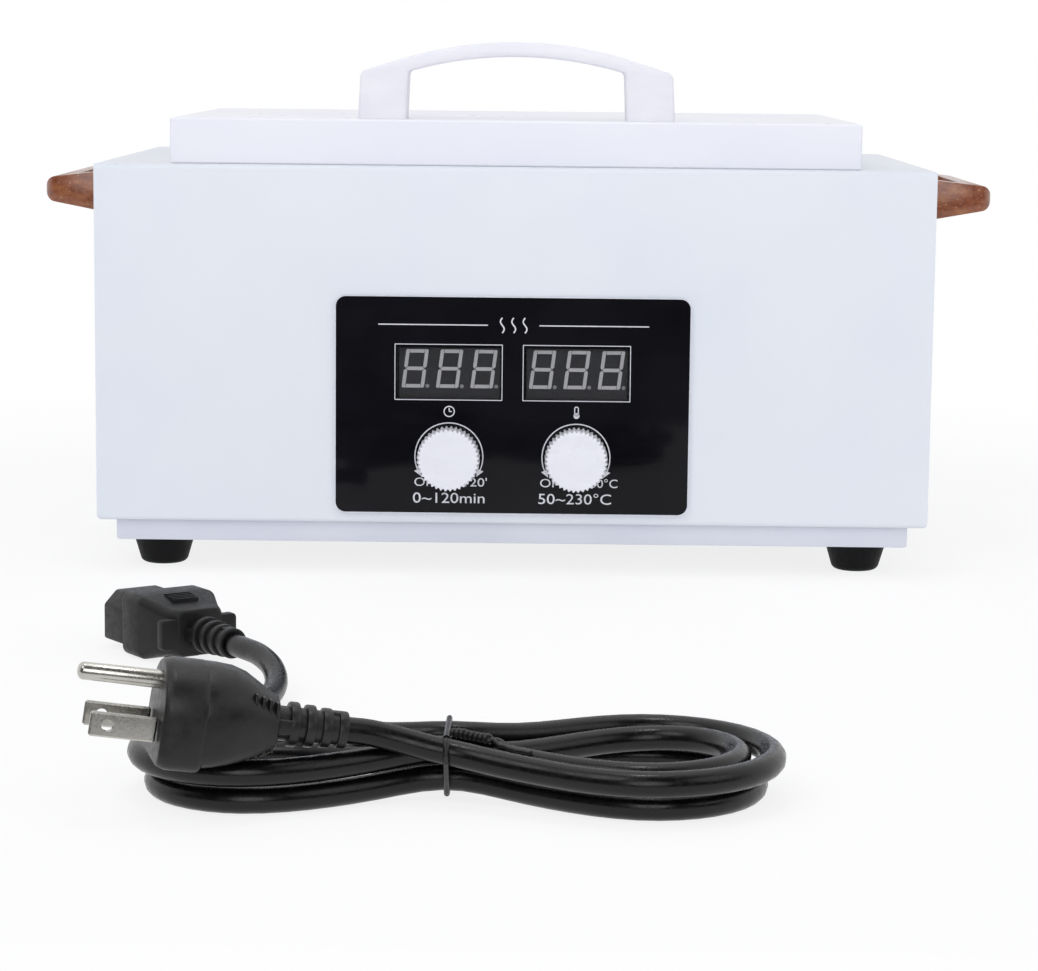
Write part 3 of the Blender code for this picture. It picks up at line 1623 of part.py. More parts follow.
make_cover()
make_side("left_side_panel", -1)
make_side("right_side_panel", 1)
make_rear_panel()
make_base_pan()
make_feet()
make_control_panel()
make_knob("time_knob", "time_shaft", display_xs[0])
make_knob("temperature_knob", "temperature_shaft", display_xs[1])
make_potentiometers()
terminal_entries = make_board()
make_tank()
heater_bottom_z = make_heater()
make_jacket(heater_bottom_z)
instrument_tray, tray_floor_z = make_tray()
make_rings(instrument_tray, tray_floor_z)
make_lid()
make_lid_handle()
make_hinges()
make_grip("left_side_handle", -1)
make_grip("right_side_handle", 1)
inlet_ends = make_inlet()
make_fuse_drawer()
make_wires(inlet_ends, terminal_entries)
connector_end, plug_end = make_cord()
make_connector(connector_end)
make_plug(plug_end)
make_tie()

for item in parts.objects:
    if item.type == "MESH":
        item.data.shade_smooth()
        item.data.set_sharp_from_angle(angle=math.radians(35))
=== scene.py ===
import math

import bmesh
import bpy
from mathutils import Matrix, Vector


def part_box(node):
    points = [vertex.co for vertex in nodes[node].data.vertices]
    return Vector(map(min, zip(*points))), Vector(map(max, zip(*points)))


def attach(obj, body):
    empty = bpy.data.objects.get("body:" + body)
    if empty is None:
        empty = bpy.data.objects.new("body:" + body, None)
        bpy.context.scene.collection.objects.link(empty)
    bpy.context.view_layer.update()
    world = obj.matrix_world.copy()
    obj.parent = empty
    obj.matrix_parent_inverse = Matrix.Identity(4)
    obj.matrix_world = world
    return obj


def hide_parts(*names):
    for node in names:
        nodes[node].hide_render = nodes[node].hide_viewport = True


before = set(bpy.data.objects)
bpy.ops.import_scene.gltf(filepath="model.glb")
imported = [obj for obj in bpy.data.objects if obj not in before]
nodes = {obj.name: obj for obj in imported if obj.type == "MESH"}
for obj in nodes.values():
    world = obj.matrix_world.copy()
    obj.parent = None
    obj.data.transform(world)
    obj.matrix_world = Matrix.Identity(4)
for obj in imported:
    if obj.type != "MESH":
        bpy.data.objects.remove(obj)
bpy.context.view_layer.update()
print("frame loaded:", len(nodes), "nodes")


# Small tools

def linear(hexColour):
    shares = [int(hexColour[k:k + 2], 16) / 255 for k in (1, 3, 5)]
    return (*[s / 12.92 if s <= 0.04045 else ((s + 0.055) / 1.055) ** 2.4 for s in shares], 1.0)


def addNode(tree, kind, inputs=None, **settings):
    # an input is a value, a socket, or a node whose first output is meant
    node = tree.nodes.new(kind)
    for name, value in settings.items():
        setattr(node, name, value)
    for socket, value in (inputs or {}).items():
        if isinstance(value, bpy.types.Node):
            value = value.outputs[0]
        if isinstance(value, bpy.types.NodeSocket):
            tree.links.new(value, node.inputs[socket])
        else:
            node.inputs[socket].default_value = value
    return node


def inScene(name, data):
    piece = bpy.data.objects.new(name, data)
    bpy.context.scene.collection.objects.link(piece)
    return piece


def dropped(*pieces):
    for piece in pieces:
        bpy.data.objects.remove(piece)


def middleOf(node):
    return Vector([(a + b) / 2 for a, b in zip(*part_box(node))])


def reworked(mesh, change, source=None):
    # runs a change on the mesh, or on its source, and writes it to the mesh
    work = bmesh.new()
    work.from_mesh(source or mesh)
    change(work)
    work.to_mesh(mesh)
    work.free()


def facedOutwards(work):
    bmesh.ops.recalc_face_normals(work, faces=work.faces)


def newPiece(name, points, faces):
    mesh = bpy.data.meshes.new(name)
    mesh.from_pydata([tuple(p) for p in points], [], [tuple(f) for f in faces])
    reworked(mesh, facedOutwards)
    return inScene(name, mesh)


def evaluated(piece):
    # swaps the piece's mesh for what its modifiers make of it
    graph = bpy.context.evaluated_depsgraph_get()
    mesh = bpy.data.meshes.new_from_object(piece.evaluated_get(graph))
    piece.modifiers.clear()
    piece.data = mesh
    return piece


def rounded(piece, width, segments=3, angle=30.0):
    bevel = piece.modifiers.new("edges", "BEVEL")
    bevel.width = width
    bevel.segments = segments
    bevel.limit_method = "ANGLE"
    bevel.angle_limit = math.radians(angle)
    return evaluated(piece)


def cutAway(piece, cutter, how="DIFFERENCE"):
    trim = piece.modifiers.new("trim", "BOOLEAN")
    trim.object = cutter
    trim.operation = how
    trim.solver = "EXACT"
    evaluated(piece)
    dropped(cutter)
    return piece


def joined(name, pieces):
    mesh = bpy.data.meshes.new(name)
    work = bmesh.new()
    for piece in pieces:
        work.from_mesh(piece.data)
    dropped(*pieces)
    work.to_mesh(mesh)
    work.free()
    return inScene(name, mesh)


def spun(degrees, axis):
    return Matrix.Rotation(math.radians(degrees), 4, axis)


def moved(piece, matrix):
    piece.data.transform(matrix)
    return piece


def loft(name, rings):
    # skin over closed rings of as many points each, with flat ends
    count = len(rings[0])
    faces = [list(range(count)), list(range((len(rings) - 1) * count, len(rings) * count))]
    for k in range(len(rings) - 1):
        for i in range(count):
            j = (i + 1) % count
            faces.append((k * count + i, k * count + j, (k + 1) * count + j, (k + 1) * count + i))
    return newPiece(name, [p for ring in rings for p in ring], faces)


def turned(name, profile, steps=48, closed=False):
    # profile of (along X, radius); a radius of zero is a pole
    points = []
    rows = []
    for along, radius in profile:
        count = steps if radius else 1
        rows.append(range(len(points), len(points) + count))
        for i in range(count):
            angle = 2 * math.pi * i / steps
            points.append((along, radius * math.cos(angle), radius * math.sin(angle)))
    faces = []
    pairs = list(zip(rows, rows[1:])) + ([(rows[-1], rows[0])] if closed else [])
    for low, high in pairs:
        for i in range(steps):
            j = (i + 1) % steps
            corners = [low[i % len(low)], low[j % len(low)], high[j % len(high)], high[i % len(high)]]
            faces.append(list(dict.fromkeys(corners)))
    return newPiece(name, points, faces)


def arcPoints(centre, radius, start, end, steps):
    angles = [math.radians(start + (end - start) * i / steps) for i in range(steps + 1)]
    return [(centre[0] + radius * math.cos(a), centre[1] + radius * math.sin(a)) for a in angles]


def roundedBox(width, height, radius, steps=6, centre=(0.0, 0.0)):
    points = []
    for sx, sy, start in ((1, 1, 0), (-1, 1, 90), (-1, -1, 180), (1, -1, 270)):
        corner = (centre[0] + sx * (width / 2 - radius), centre[1] + sy * (height / 2 - radius))
        points += arcPoints(corner, radius, start, start + 90, steps)
    return points


def slab(name, outline, low, high, axis="Y"):
    # outline pushed along one axis from low to high
    order = {"X": lambda u, v, w: (w, u, v), "Y": lambda u, v, w: (u, w, v), "Z": lambda u, v, w: (u, v, w)}[axis]
    return loft(name, [[order(u, v, w) for u, v in outline] for w in (low, high)])


def tubeAlong(name, points, radius, sides=16):
    # mesh tube with closed ends; its rings turn as little as they can
    rings = []
    tangent = (points[1] - points[0]).normalized()
    side = tangent.orthogonal().normalized()
    for k, point in enumerate(points):
        ahead = points[min(k + 1, len(points) - 1)] - points[max(k - 1, 0)]
        ahead.normalize()
        side = (side - ahead * side.dot(ahead)).normalized()
        up = ahead.cross(side)
        angles = [2 * math.pi * i / sides for i in range(sides)]
        rings.append([point + side * radius * math.cos(a) + up * radius * math.sin(a) for a in angles])
    return loft(name, rings)


def smoothLine(route, step):
    # points about a step apart on a smooth curve through the route
    places = [Vector(p) for p in route]
    places = [places[0] * 2 - places[1], *places, places[-1] * 2 - places[-2]]
    line = []
    for a, b, c, d in zip(places, places[1:], places[2:], places[3:]):
        pieces = max(2, round((c - b).length / step))
        for k in range(pieces):
            t = k / pieces
            line.append((
                b * 2 + (c - a) * t + (a * 2 - b * 5 + c * 4 - d) * t * t
                + (b * 3 - a - c * 3 + d) * t * t * t
            ) / 2)
    line.append(places[-2])
    return line


def trimmed(piece, point, normal):
    # takes off what lies beyond a plane and closes the cut
    def cut(work):
        every = [*work.verts, *work.edges, *work.faces]
        ends = bmesh.ops.bisect_plane(work, geom=every, plane_co=point, plane_no=normal, clear_outer=True)
        rim = [e for e in ends["geom_cut"] if isinstance(e, bmesh.types.BMEdge)]
        bmesh.ops.holes_fill(work, edges=rim, sides=0)
    reworked(piece.data, cut)


def settled(piece, finish, replaced=(), angle=35.0, body="casing"):
    piece.data.materials.clear()
    piece.data.materials.append(finishes[finish])
    piece.data.shade_smooth()
    piece.data.set_sharp_from_angle(angle=math.radians(angle))
    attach(piece, body)
    if replaced:
        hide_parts(*replaced)
    return piece


def mergedCopy(name, node):
    # the node's own mesh with its doubled corners merged, so that its bends can be shaded smooth
    def merge(work):
        bmesh.ops.remove_doubles(work, verts=work.verts, dist=0.000002)
        bmesh.ops.dissolve_limit(work, angle_limit=math.radians(0.5), verts=work.verts, edges=work.edges)
    mesh = bpy.data.meshes.new(name)
    reworked(mesh, merge, nodes[node].data)
    return inScene(name, mesh)


def startRule(name, sockets):
    # an empty node rule with its named inputs
    tree = bpy.data.node_groups.new(name, "GeometryNodeTree")
    for label, kind in {"Geometry": "Geometry", **sockets}.items():
        tree.interface.new_socket(label, in_out="INPUT", socket_type="NodeSocket" + kind)
    tree.interface.new_socket("Geometry", in_out="OUTPUT", socket_type="NodeSocketGeometry")
    return tree, addNode(tree, "NodeGroupInput").outputs


def endRule(tree, entry, geometry):
    # copies become plain geometry and get their finish
    real = addNode(tree, "GeometryNodeRealizeInstances", {"Geometry": geometry})
    finish = addNode(tree, "GeometryNodeSetMaterial", {"Geometry": real, "Material": entry["Finish"]})
    addNode(tree, "NodeGroupOutput", {"Geometry": finish})
    return tree


def shaped(piece, tree, values):
    # runs a node rule on a piece with its named inputs, and keeps the mesh
    rule = piece.modifiers.new(tree.name, "NODES")
    rule.node_group = tree
    for item in tree.interface.items_tree:
        if item.in_out == "INPUT" and item.name in values:
            rule[item.identifier] = values[item.name]
    return evaluated(piece)


# Camera, from the photograph's fit

cameraView = {
    "place": (0.0076, -1.1981, 0.1958),
    "pitch": -8.297,
    "yaw": 0.261,
    "roll": -0.60,
    "lens": 104.05,
    "sensor": 36.0,
}


def placeCamera():
    view = cameraView
    camera = inScene("camera", bpy.data.cameras.new("camera"))
    camera.data.lens = view["lens"]
    camera.data.sensor_width = view["sensor"]
    camera.data.sensor_fit = "HORIZONTAL"
    turn = spun(view["yaw"], "Z") @ spun(view["pitch"], "X") @ spun(view["roll"], "Y") @ spun(90, "X")
    camera.matrix_world = Matrix.Translation(view["place"]) @ turn
    bpy.context.scene.camera = camera


placeCamera()
print("camera placed")


# Finishes

def newFinish(name, colour, roughness, metallic=0.0, ior=1.5, **more):
    material = bpy.data.materials.new(name)
    material.use_nodes = True
    shader = material.node_tree.nodes["Principled BSDF"]
    shader.inputs["Base Color"].default_value = linear(colour)
    shader.inputs["Roughness"].default_value = roughness
    shader.inputs["Metallic"].default_value = metallic
    shader.inputs["IOR"].default_value = ior
    for socket, value in more.items():
        shader.inputs[socket.replace("_", " ")].default_value = value
    return material, material.node_tree, shader


def cloud(tree, spacing, stretch=(1.0, 1.0, 1.0), detail=3.0, rough=0.55, shift=(0.0, 0.0, 0.0)):
    # a soft pattern whose spots are about spacing metres apart
    place = addNode(tree, "ShaderNodeTexCoord")
    mapping = addNode(tree, "ShaderNodeMapping", {
        "Scale": [1 / (spacing * s) for s in stretch], "Location": shift, "Vector": place.outputs["Object"]})
    noise = addNode(tree, "ShaderNodeTexNoise", {
        "Scale": 1.0, "Detail": detail, "Roughness": rough, "Vector": mapping})
    return noise.outputs["Fac"]


def dressed(tree, shader, tint=None, gloss=None, relief=None):
    # tint: pattern, stops of position and colour; gloss: pattern, low and high roughness; relief: pattern, depth
    if tint:
        ramp = addNode(tree, "ShaderNodeValToRGB", {"Fac": tint[0]})
        bands = ramp.color_ramp.elements
        while len(bands) < len(tint) - 1:
            bands.new(0.5)
        for band, (at, colour) in zip(bands, tint[1:]):
            band.position = at
            band.color = linear(colour)
        tree.links.new(ramp.outputs["Color"], shader.inputs["Base Color"])
    if gloss:
        spread = addNode(tree, "ShaderNodeMapRange", {
            "From Min": 0.3, "From Max": 0.7, "To Min": gloss[1], "To Max": gloss[2], "Value": gloss[0]})
        tree.links.new(spread.outputs["Result"], shader.inputs["Roughness"])
    if relief:
        bump = addNode(tree, "ShaderNodeBump", {"Strength": 1.0, "Distance": relief[1], "Height": relief[0]})
        tree.links.new(bump.outputs["Normal"], shader.inputs["Normal"])
    return ramp if tint else None


def makePowderCoat(name, light, dark, roughness):
    # epoxy powder baked on steel: fine orange peel, broad soft highlights
    material, tree, shader = newFinish(name, light, roughness)
    dressed(tree, shader, (cloud(tree, 0.06, detail=2.0), (0.35, dark), (0.65, light)),
            (cloud(tree, 0.02, detail=4.0), roughness - 0.03, roughness + 0.04),
            (cloud(tree, 0.0011, detail=2.0, rough=0.5), 0.00001))
    return material


def makeMouldedPlastic(name, light, dark, roughness):
    # ABS from a fine-textured mould: even colour, a soft sheen with faint flow marks
    material, tree, shader = newFinish(name, light, roughness, ior=1.53)
    dressed(tree, shader, (cloud(tree, 0.018, (1.0, 1.0, 0.4), 3.0), (0.35, dark), (0.68, light)),
            (cloud(tree, 0.006, detail=4.0), roughness - 0.04, roughness + 0.06),
            (cloud(tree, 0.0006, detail=2.0), 0.00001))
    return material


def makeBakelite():
    # brown phenolic with wood flour: mottled, with dark and pale flecks from the filler
    material, tree, shader = newFinish("brownPhenolic", "#8C5336", 0.3, ior=1.6)
    body = cloud(tree, 0.0045, (1.6, 2.4, 0.8), 6.0, 0.65)
    flecks = cloud(tree, 0.0011, (1.0, 2.5, 1.0), 2.0, 0.5, (3.0, 1.0, 5.0))
    mixed = dressed(tree, shader, (body, (0.32, "#713A24"), (0.5, "#8A4E30"), (0.68, "#A0663F")),
                    (flecks, 0.16, 0.28), (cloud(tree, 0.0008, detail=3.0), 0.00004))
    for low, high, share, colour in ((0.66, 0.74, 0.75, "#C49A80"), (0.36, 0.29, 0.6, "#4C231A")):
        shown = addNode(tree, "ShaderNodeMapRange", {
            "From Min": low, "From Max": high, "To Min": 0.0, "To Max": share, "Value": flecks})
        mixed = addNode(tree, "ShaderNodeMixRGB", {"Color2": linear(colour), "Fac": shown, "Color1": mixed})
    tree.links.new(mixed.outputs["Color"], shader.inputs["Base Color"])
    return material


def makeGlossFilm(name, colour, roughness, ior):
    # gloss black overlay: a clear hard coat with hair-fine wiping marks
    material, tree, shader = newFinish(name, colour, roughness, ior=ior)
    dressed(tree, shader, (cloud(tree, 0.03, detail=2.0), (0.3, colour), (0.7, "#131318")),
            (cloud(tree, 0.0025, (6.0, 1.0, 0.5), 4.0, 0.6), roughness, roughness + 0.05))
    return material


def makeBrushedMetal(name, light, dark, roughness, spacing=0.0006, stretch=(1.0, 1.0, 1.0)):
    # rolled and brushed sheet: long fine scratches along one way, cloudy sheen
    material, tree, shader = newFinish(name, light, roughness, 1.0)
    lines = cloud(tree, spacing, stretch, 4.0, 0.6)
    dressed(tree, shader, (cloud(tree, 0.012, detail=4.0), (0.3, dark), (0.7, light)),
            (lines, roughness - 0.07, roughness + 0.1), (lines, 0.00001))
    return material


def makeRubber(name, colour, shade, roughness, grit, depth, gleam):
    # moulded rubber or PVC: deep black, slightly dusty, with the grain of its mould
    material, tree, shader = newFinish(name, colour, roughness, ior=1.52, Specular_IOR_Level=gleam)
    dressed(tree, shader, (cloud(tree, 0.004, detail=5.0), (0.35, shade), (0.7, colour)),
            (cloud(tree, 0.002, detail=3.0), roughness - 0.05, roughness + 0.1),
            (cloud(tree, grit, detail=2.0), depth))
    return material


def makePlain(name, light, dark, roughness, spacing, depth):
    # an even finish with slight changes of colour and a fine surface
    material, tree, shader = newFinish(name, light, roughness)
    pattern = cloud(tree, spacing, detail=4.0)
    dressed(tree, shader, (pattern, (0.35, dark), (0.65, light)), None, (pattern, depth))
    return material


def makeCircuitBoard():
    # glass epoxy with green solder mask over straight copper tracks
    material, tree, shader = newFinish("greenSolderMask", "#1F6B3D", 0.35, ior=1.55)
    place = addNode(tree, "ShaderNodeTexCoord")
    mapping = addNode(tree, "ShaderNodeMapping", {
        "Rotation": (math.radians(90), 0.0, 0.0), "Vector": place.outputs["Object"]})
    tracks = addNode(tree, "ShaderNodeTexBrick", {
        "Color1": linear("#1B5E36"), "Color2": linear("#20693D"), "Mortar": linear("#3D9A5A"), "Scale": 90.0,
        "Mortar Size": 0.03, "Brick Width": 0.9, "Row Height": 0.22, "Vector": mapping})
    tree.links.new(tracks.outputs["Color"], shader.inputs["Base Color"])
    dressed(tree, shader, relief=(tracks.outputs["Fac"], 0.00003))
    return material


def makeStriped(name, colour, roughness, metallic, spacing, way, low, high, depth):
    # bands of two colours: a wire's spiral stripe, or the edges of stacked iron sheets
    material, tree, shader = newFinish(name, colour, roughness, metallic)
    place = addNode(tree, "ShaderNodeTexCoord")
    bands = addNode(tree, "ShaderNodeTexWave", {
        "Scale": spacing[0], "Distortion": spacing[1], "Vector": place.outputs["Object"]}, bands_direction=way)
    pattern = bands.outputs["Fac"]
    dressed(tree, shader, (pattern, low, high), None, (pattern, depth) if depth else None)
    return material


finishes = {
    "casingCoat": makePowderCoat("whiteEpoxyPowderCoat", "#E6E9EE", "#E2E7ED", 0.36),
    "lidCoat": makePowderCoat("whiteLidPowderCoat", "#F2F2F7", "#EFEFF6", 0.3),
    "baseCoat": makePowderCoat("whiteBasePowderCoat", "#DCDFE8", "#D7DAE4", 0.46),
    "handlePlastic": makeMouldedPlastic("whiteAbsHandle", "#F2F1F5", "#EDECF2", 0.36),
    "knobPlastic": makeMouldedPlastic("whiteAbsKnob", "#F1F1F6", "#EAEAF0", 0.3),
    "phenolic": makeBakelite(),
    "overlay": makeGlossFilm("blackAcrylicOverlay", "#0D0D11", 0.03, 1.25),
    "ink": makePlain("whiteScreenInk", "#E4E4E8", "#D6D6DC", 0.5, 0.0008, 0.000005),
    # pale colour for the acrylic's cut edge: a painted highlight, not the edge's own colour
    "rim": makePlain("acrylicEdgePaintedHighlight", "#E8EAF0", "#D8DBE4", 0.2, 0.002, 0.000005),
    "displayEpoxy": makePlain("greyDisplayEpoxy", "#424246", "#3D3D41", 0.55, 0.002, 0.00001),
    "segments": makePlain("unlitSegments", "#EEEEEF", "#DEDEE0", 0.5, 0.0007, 0.00002),
    "points": makePlain("unlitPoints", "#B2B2B5", "#A6A6A9", 0.5, 0.0007, 0.00002),
    "rubber": makeRubber("blackMouldedRubber", "#0A0B0E", "#07080A", 0.55, 0.0005, 0.00004, 0.16),
    "cordJacket": makeRubber("blackPvcJacket", "#070708", "#040405", 0.24, 0.0012, 0.00001, 0.34),
    "connectorPvc": makeRubber("blackPvcConnector", "#19191A", "#131314", 0.46, 0.0004, 0.00003, 0.3),
    "plugPvc": makeRubber("blackPvcPlug", "#19191A", "#101011", 0.36, 0.0004, 0.00004, 0.4),
    "tieWire": makeRubber("blackCoatedTieWire", "#121213", "#0C0C0D", 0.36, 0.0008, 0.00002, 0.5),
    "nickel": makeBrushedMetal("nickelPlate", "#C9C7C1", "#B4B2AC", 0.2, 0.0007),
    "tank": makeBrushedMetal("deepDrawnStainless", "#C6C7C9", "#B2B3B6", 0.27, stretch=(12.0, 1.0, 1.0)),
    "tray": makeBrushedMetal("brushedStainlessTray", "#C9CACB", "#B7B8BA", 0.3, stretch=(12.0, 1.0, 1.0)),
    "ringSteel": makeBrushedMetal("drawnSteelWire", "#A5A5A4", "#8B8B8A", 0.27, 0.0009),
    "zinc": makeBrushedMetal("zincPlatedSteel", "#BDBEB8", "#A7A9A4", 0.34, 0.0012),
    "inletPlastic": makePlain("blackPbtPlastic", "#1C1C1E", "#161618", 0.45, 0.0006, 0.00002),
    "wool": makePlain("mineralWool", "#CDBF9A", "#A99C7C", 0.95, 0.0012, 0.0006),
    "silicone": makePlain("redSilicone", "#A8412F", "#973826", 0.55, 0.001, 0.00002),
    "board": makeCircuitBoard(),
    "terminal": makePlain("bluePolyamide", "#1F5AA6", "#1B4F93", 0.4, 0.001, 0.00002),
    "brownWire": makePlain("brownPvcWire", "#5C3A26", "#50311F", 0.4, 0.003, 0.00001),
    "blueWire": makePlain("bluePvcWire", "#2B5FA8", "#244F8E", 0.4, 0.003, 0.00001),
    "earthWire": makeStriped("greenYellowWire", "#2F8F45", 0.4, 0.0, (60.0, 0.5), "DIAGONAL",
                             (0.45, "#2F8F45"), (0.55, "#D9C62E"), 0.0),
    "transformer": makeStriped("laminatedIron", "#6F6A60", 0.45, 0.6, (320.0, 0.3), "Y",
                               (0.2, "#4E4A42"), (0.8, "#8C877B"), 0.0001),
    # a sand-filled tube looks milky with a bluish cast
    "fuseGlass": makePlain("sandFilledGlass", "#E4E4F2", "#D4D4E8", 0.12, 0.0006, 0.000003),
    # tinted acrylic over the displays: clear enough to read the unlit digits through
    "window": newFinish("smokedAcrylic", "#08080A", 0.03, ior=1.25, Alpha=0.18)[0],
    "mica": makePlain("silverMica", "#B9AE98", "#A0957F", 0.6, 0.0015, 0.00005),
}
print("finishes made:", len(finishes))


# Mains lead: cord, connector, plug and tie, lying in front of the sterilizer

leadShape = {
    "radius": 0.0035,
    "floor": 0.0002,
    "centre": Vector((-0.014, -0.4221, 0.0)),
    "reach": 0.053,
    "lobe": 0.033,
    "waist": 0.0132,
    "pitch": 0.0092,
    "layer": 0.0076,
    "start": -0.08,
    "end": 2.42,
    "reversal": 1.0,
    "runShare": 0.26,
    "humpHeight": 0.0022,
    "humpLength": 0.016,
    "pointsPerTurn": 72,
    "step": 0.002,
    "leadRoute": (
        (-0.0713, 0.1448, 0.0102), (-0.0667, 0.1382, 0.0102), (-0.0621, 0.1317, 0.0098), (-0.0575, 0.1225, 0.0082),
        (-0.0552, 0.1125, 0.0060), (-0.0555, 0.1019, 0.0044), (-0.0581, 0.0872, 0.0038), (-0.0607, 0.0724, 0.0037),
        (-0.0612, 0.0653, 0.0037), (-0.0603, 0.0586, 0.0037), (-0.0576, 0.0510, 0.0037), (-0.0511, 0.0407, 0.0037),
        (-0.0424, 0.0316, 0.0037),
    ),
    "tailRoute": (
        (0.0240, -0.0236, 0.0117), (0.0140, -0.0192, 0.0126), (0.0050, -0.0160, 0.0139), (-0.0040, -0.0148, 0.0156),
        (-0.0120, -0.0145, 0.0176), (-0.0198, -0.01534, 0.01958), (-0.0260, -0.0170, 0.0206),
    ),
    "length": 1.20,
}


def hankPlace(turns):
    # a figure of two lobes and two runs, wound inwards and then on top of itself
    s = leadShape
    inward = s["pitch"] * (s["reversal"] - abs(turns - s["reversal"])) + s["pitch"] / 4
    lobe = s["lobe"] - inward
    waist = s["waist"] - inward
    part = (turns + s["runShare"] / 2) % 1.0
    side = 1.0 if part < 0.5 else -1.0
    part %= 0.5
    if part < s["runShare"]:
        x = s["reach"] * (2 * part / s["runShare"] - 1)
        y = waist + (lobe - waist) * (1 - math.cos(math.pi * x / s["reach"])) / 2
    else:
        angle = math.pi / 2 - math.pi * (part - s["runShare"]) / (0.5 - s["runShare"])
        x = s["reach"] + lobe * math.cos(angle)
        y = lobe * math.sin(angle)
    climb = min(1.0, max(0.0, 2 * (turns - s["reversal"]) + 0.5))
    rise = s["layer"] * climb * climb * (3 - 2 * climb)
    hump = s["humpHeight"] * math.exp(-((x / s["humpLength"]) ** 2))
    return s["centre"] + Vector((side * x, side * y, s["floor"] + s["radius"] + rise + hump))


def leadLine():
    s = leadShape
    count = round((s["end"] - s["start"]) * s["pointsPerTurn"])
    hank = [hankPlace(s["start"] + (s["end"] - s["start"]) * i / count) for i in range(count + 1)]
    lead = smoothLine([*[s["centre"] + Vector(p) for p in s["leadRoute"]], hank[0]], s["step"])
    tail = smoothLine([hank[-1], *[s["centre"] + Vector(p) for p in s["tailRoute"]]], s["step"])
    return [*lead[:-1], *hank, *tail[1:]]


def makeLead(points):
    curve = bpy.data.curves.new("mainsLead", "CURVE")
    curve.dimensions = "3D"
    line = curve.splines.new("POLY")
    line.points.add(len(points) - 1)
    for place, point in zip(line.points, points):
        place.co = (*point, 1.0)
    line.use_smooth = True
    curve.bevel_depth = leadShape["radius"]
    curve.bevel_resolution = 8
    curve.use_fill_caps = True
    lead = inScene("mainsLead", curve)
    curve.materials.append(finishes["cordJacket"])
    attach(lead, "casing")
    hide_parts("cord_lead", "cord_hank", "cord_tail")
    return lead


def heading(start, turn, tilt=0.0):
    # from a piece made along +X about zero to its place on the cord
    return Matrix.Translation(start) @ spun(turn, "Z") @ spun(-tilt, "Y")


reliefShape = {
    "count": 4,
    "ribRadius": 0.0062,
    "coreRadius": 0.0046,
    "mouthRadius": 0.0041,
    "innerRadius": 0.8 * 0.0046,
    "ribLength": 0.0026,
    "ribEdge": 0.0005,
    "slotWidth": 0.0042,
    "slotCorner": 0.0006,
    "slotDrop": 0.0002,
    "taper": 0.055,
    "sides": 40,
}


def ribRing():
    # one rib of a strain relief, a ring on the core
    s = reliefShape
    half = s["ribLength"] / 2
    corners = [(-half, s["innerRadius"]), (-half, s["ribRadius"]), (half, s["ribRadius"]), (half, s["innerRadius"])]
    return rounded(turned("rib", corners, s["sides"], True), s["ribEdge"], 2, 50)


def bridgeBlock(pitch):
    # a short web that ties a rib to the next one
    s = reliefShape
    middle = (0.0, (s["ribRadius"] + s["innerRadius"]) / 2 - s["slotDrop"])
    outline = roundedBox(s["slotWidth"], s["ribRadius"] - s["innerRadius"], s["slotCorner"], 3, middle)
    return slab("bridge", outline, 0.0, pitch, "X")


def ribTree():
    # ribs along X: each copy a quarter turn on, and a little smaller
    tree, entry = startRule("reliefRibs", {
        "Rib": "Object", "Bridge": "Object", "Count": "Int", "Pitch": "Float", "First": "Float", "Taper": "Float",
        "Finish": "Material"})
    step = addNode(tree, "ShaderNodeCombineXYZ", {"X": entry["Pitch"]})
    first = addNode(tree, "ShaderNodeCombineXYZ", {"X": entry["First"]})
    line = addNode(tree, "GeometryNodeMeshLine", {"Count": entry["Count"], "Start Location": first, "Offset": step})
    index = addNode(tree, "GeometryNodeInputIndex")
    quarter = addNode(tree, "ShaderNodeMath", {1: math.pi / 2, 0: index}, operation="MULTIPLY")
    turn = addNode(tree, "ShaderNodeCombineXYZ", {"X": quarter})
    left = addNode(tree, "ShaderNodeMath", {0: entry["Count"], 1: index}, operation="SUBTRACT")
    shrink = addNode(tree, "ShaderNodeMath", {0: left, 1: entry["Taper"]}, operation="MULTIPLY")
    size = addNode(tree, "ShaderNodeMath", {0: 1.0, 1: shrink}, operation="SUBTRACT")
    across = addNode(tree, "ShaderNodeCombineXYZ", {"X": 1.0, "Y": size, "Z": size})
    parts = [entry["Geometry"]]
    for name in ("Rib", "Bridge"):
        source = addNode(tree, "GeometryNodeObjectInfo", {"Object": entry[name]})
        copies = addNode(tree, "GeometryNodeInstanceOnPoints", {
            "Points": line, "Instance": source.outputs["Geometry"], "Rotation": turn, "Scale": across})
        parts.append(copies.outputs[0])
    merged = addNode(tree, "GeometryNodeJoinGeometry")
    for part in parts:
        tree.links.new(part, merged.inputs[0])
    return endRule(tree, entry, merged)


reliefRibs = ribTree()


def strainRelief(name, length, finish):
    # tapered core with its ribs, from the cord's mouth at zero to the housing at length
    s = reliefShape
    bore = leadShape["radius"] * 0.6
    core = turned(name, [
        (0.0, bore), (0.0, s["mouthRadius"]), (length * 0.5, s["coreRadius"] * 0.97),
        (length + 0.001, s["coreRadius"]), (length + 0.001, bore),
    ], s["sides"], True)
    pitch = (length - s["ribLength"]) / s["count"]
    rib = ribRing()
    bridge = bridgeBlock(pitch)
    shaped(core, reliefRibs, {
        "Rib": rib, "Bridge": bridge, "Count": s["count"], "Pitch": pitch, "First": s["ribLength"] / 2,
        "Taper": s["taper"], "Finish": finish,
    })
    dropped(rib, bridge)
    return core


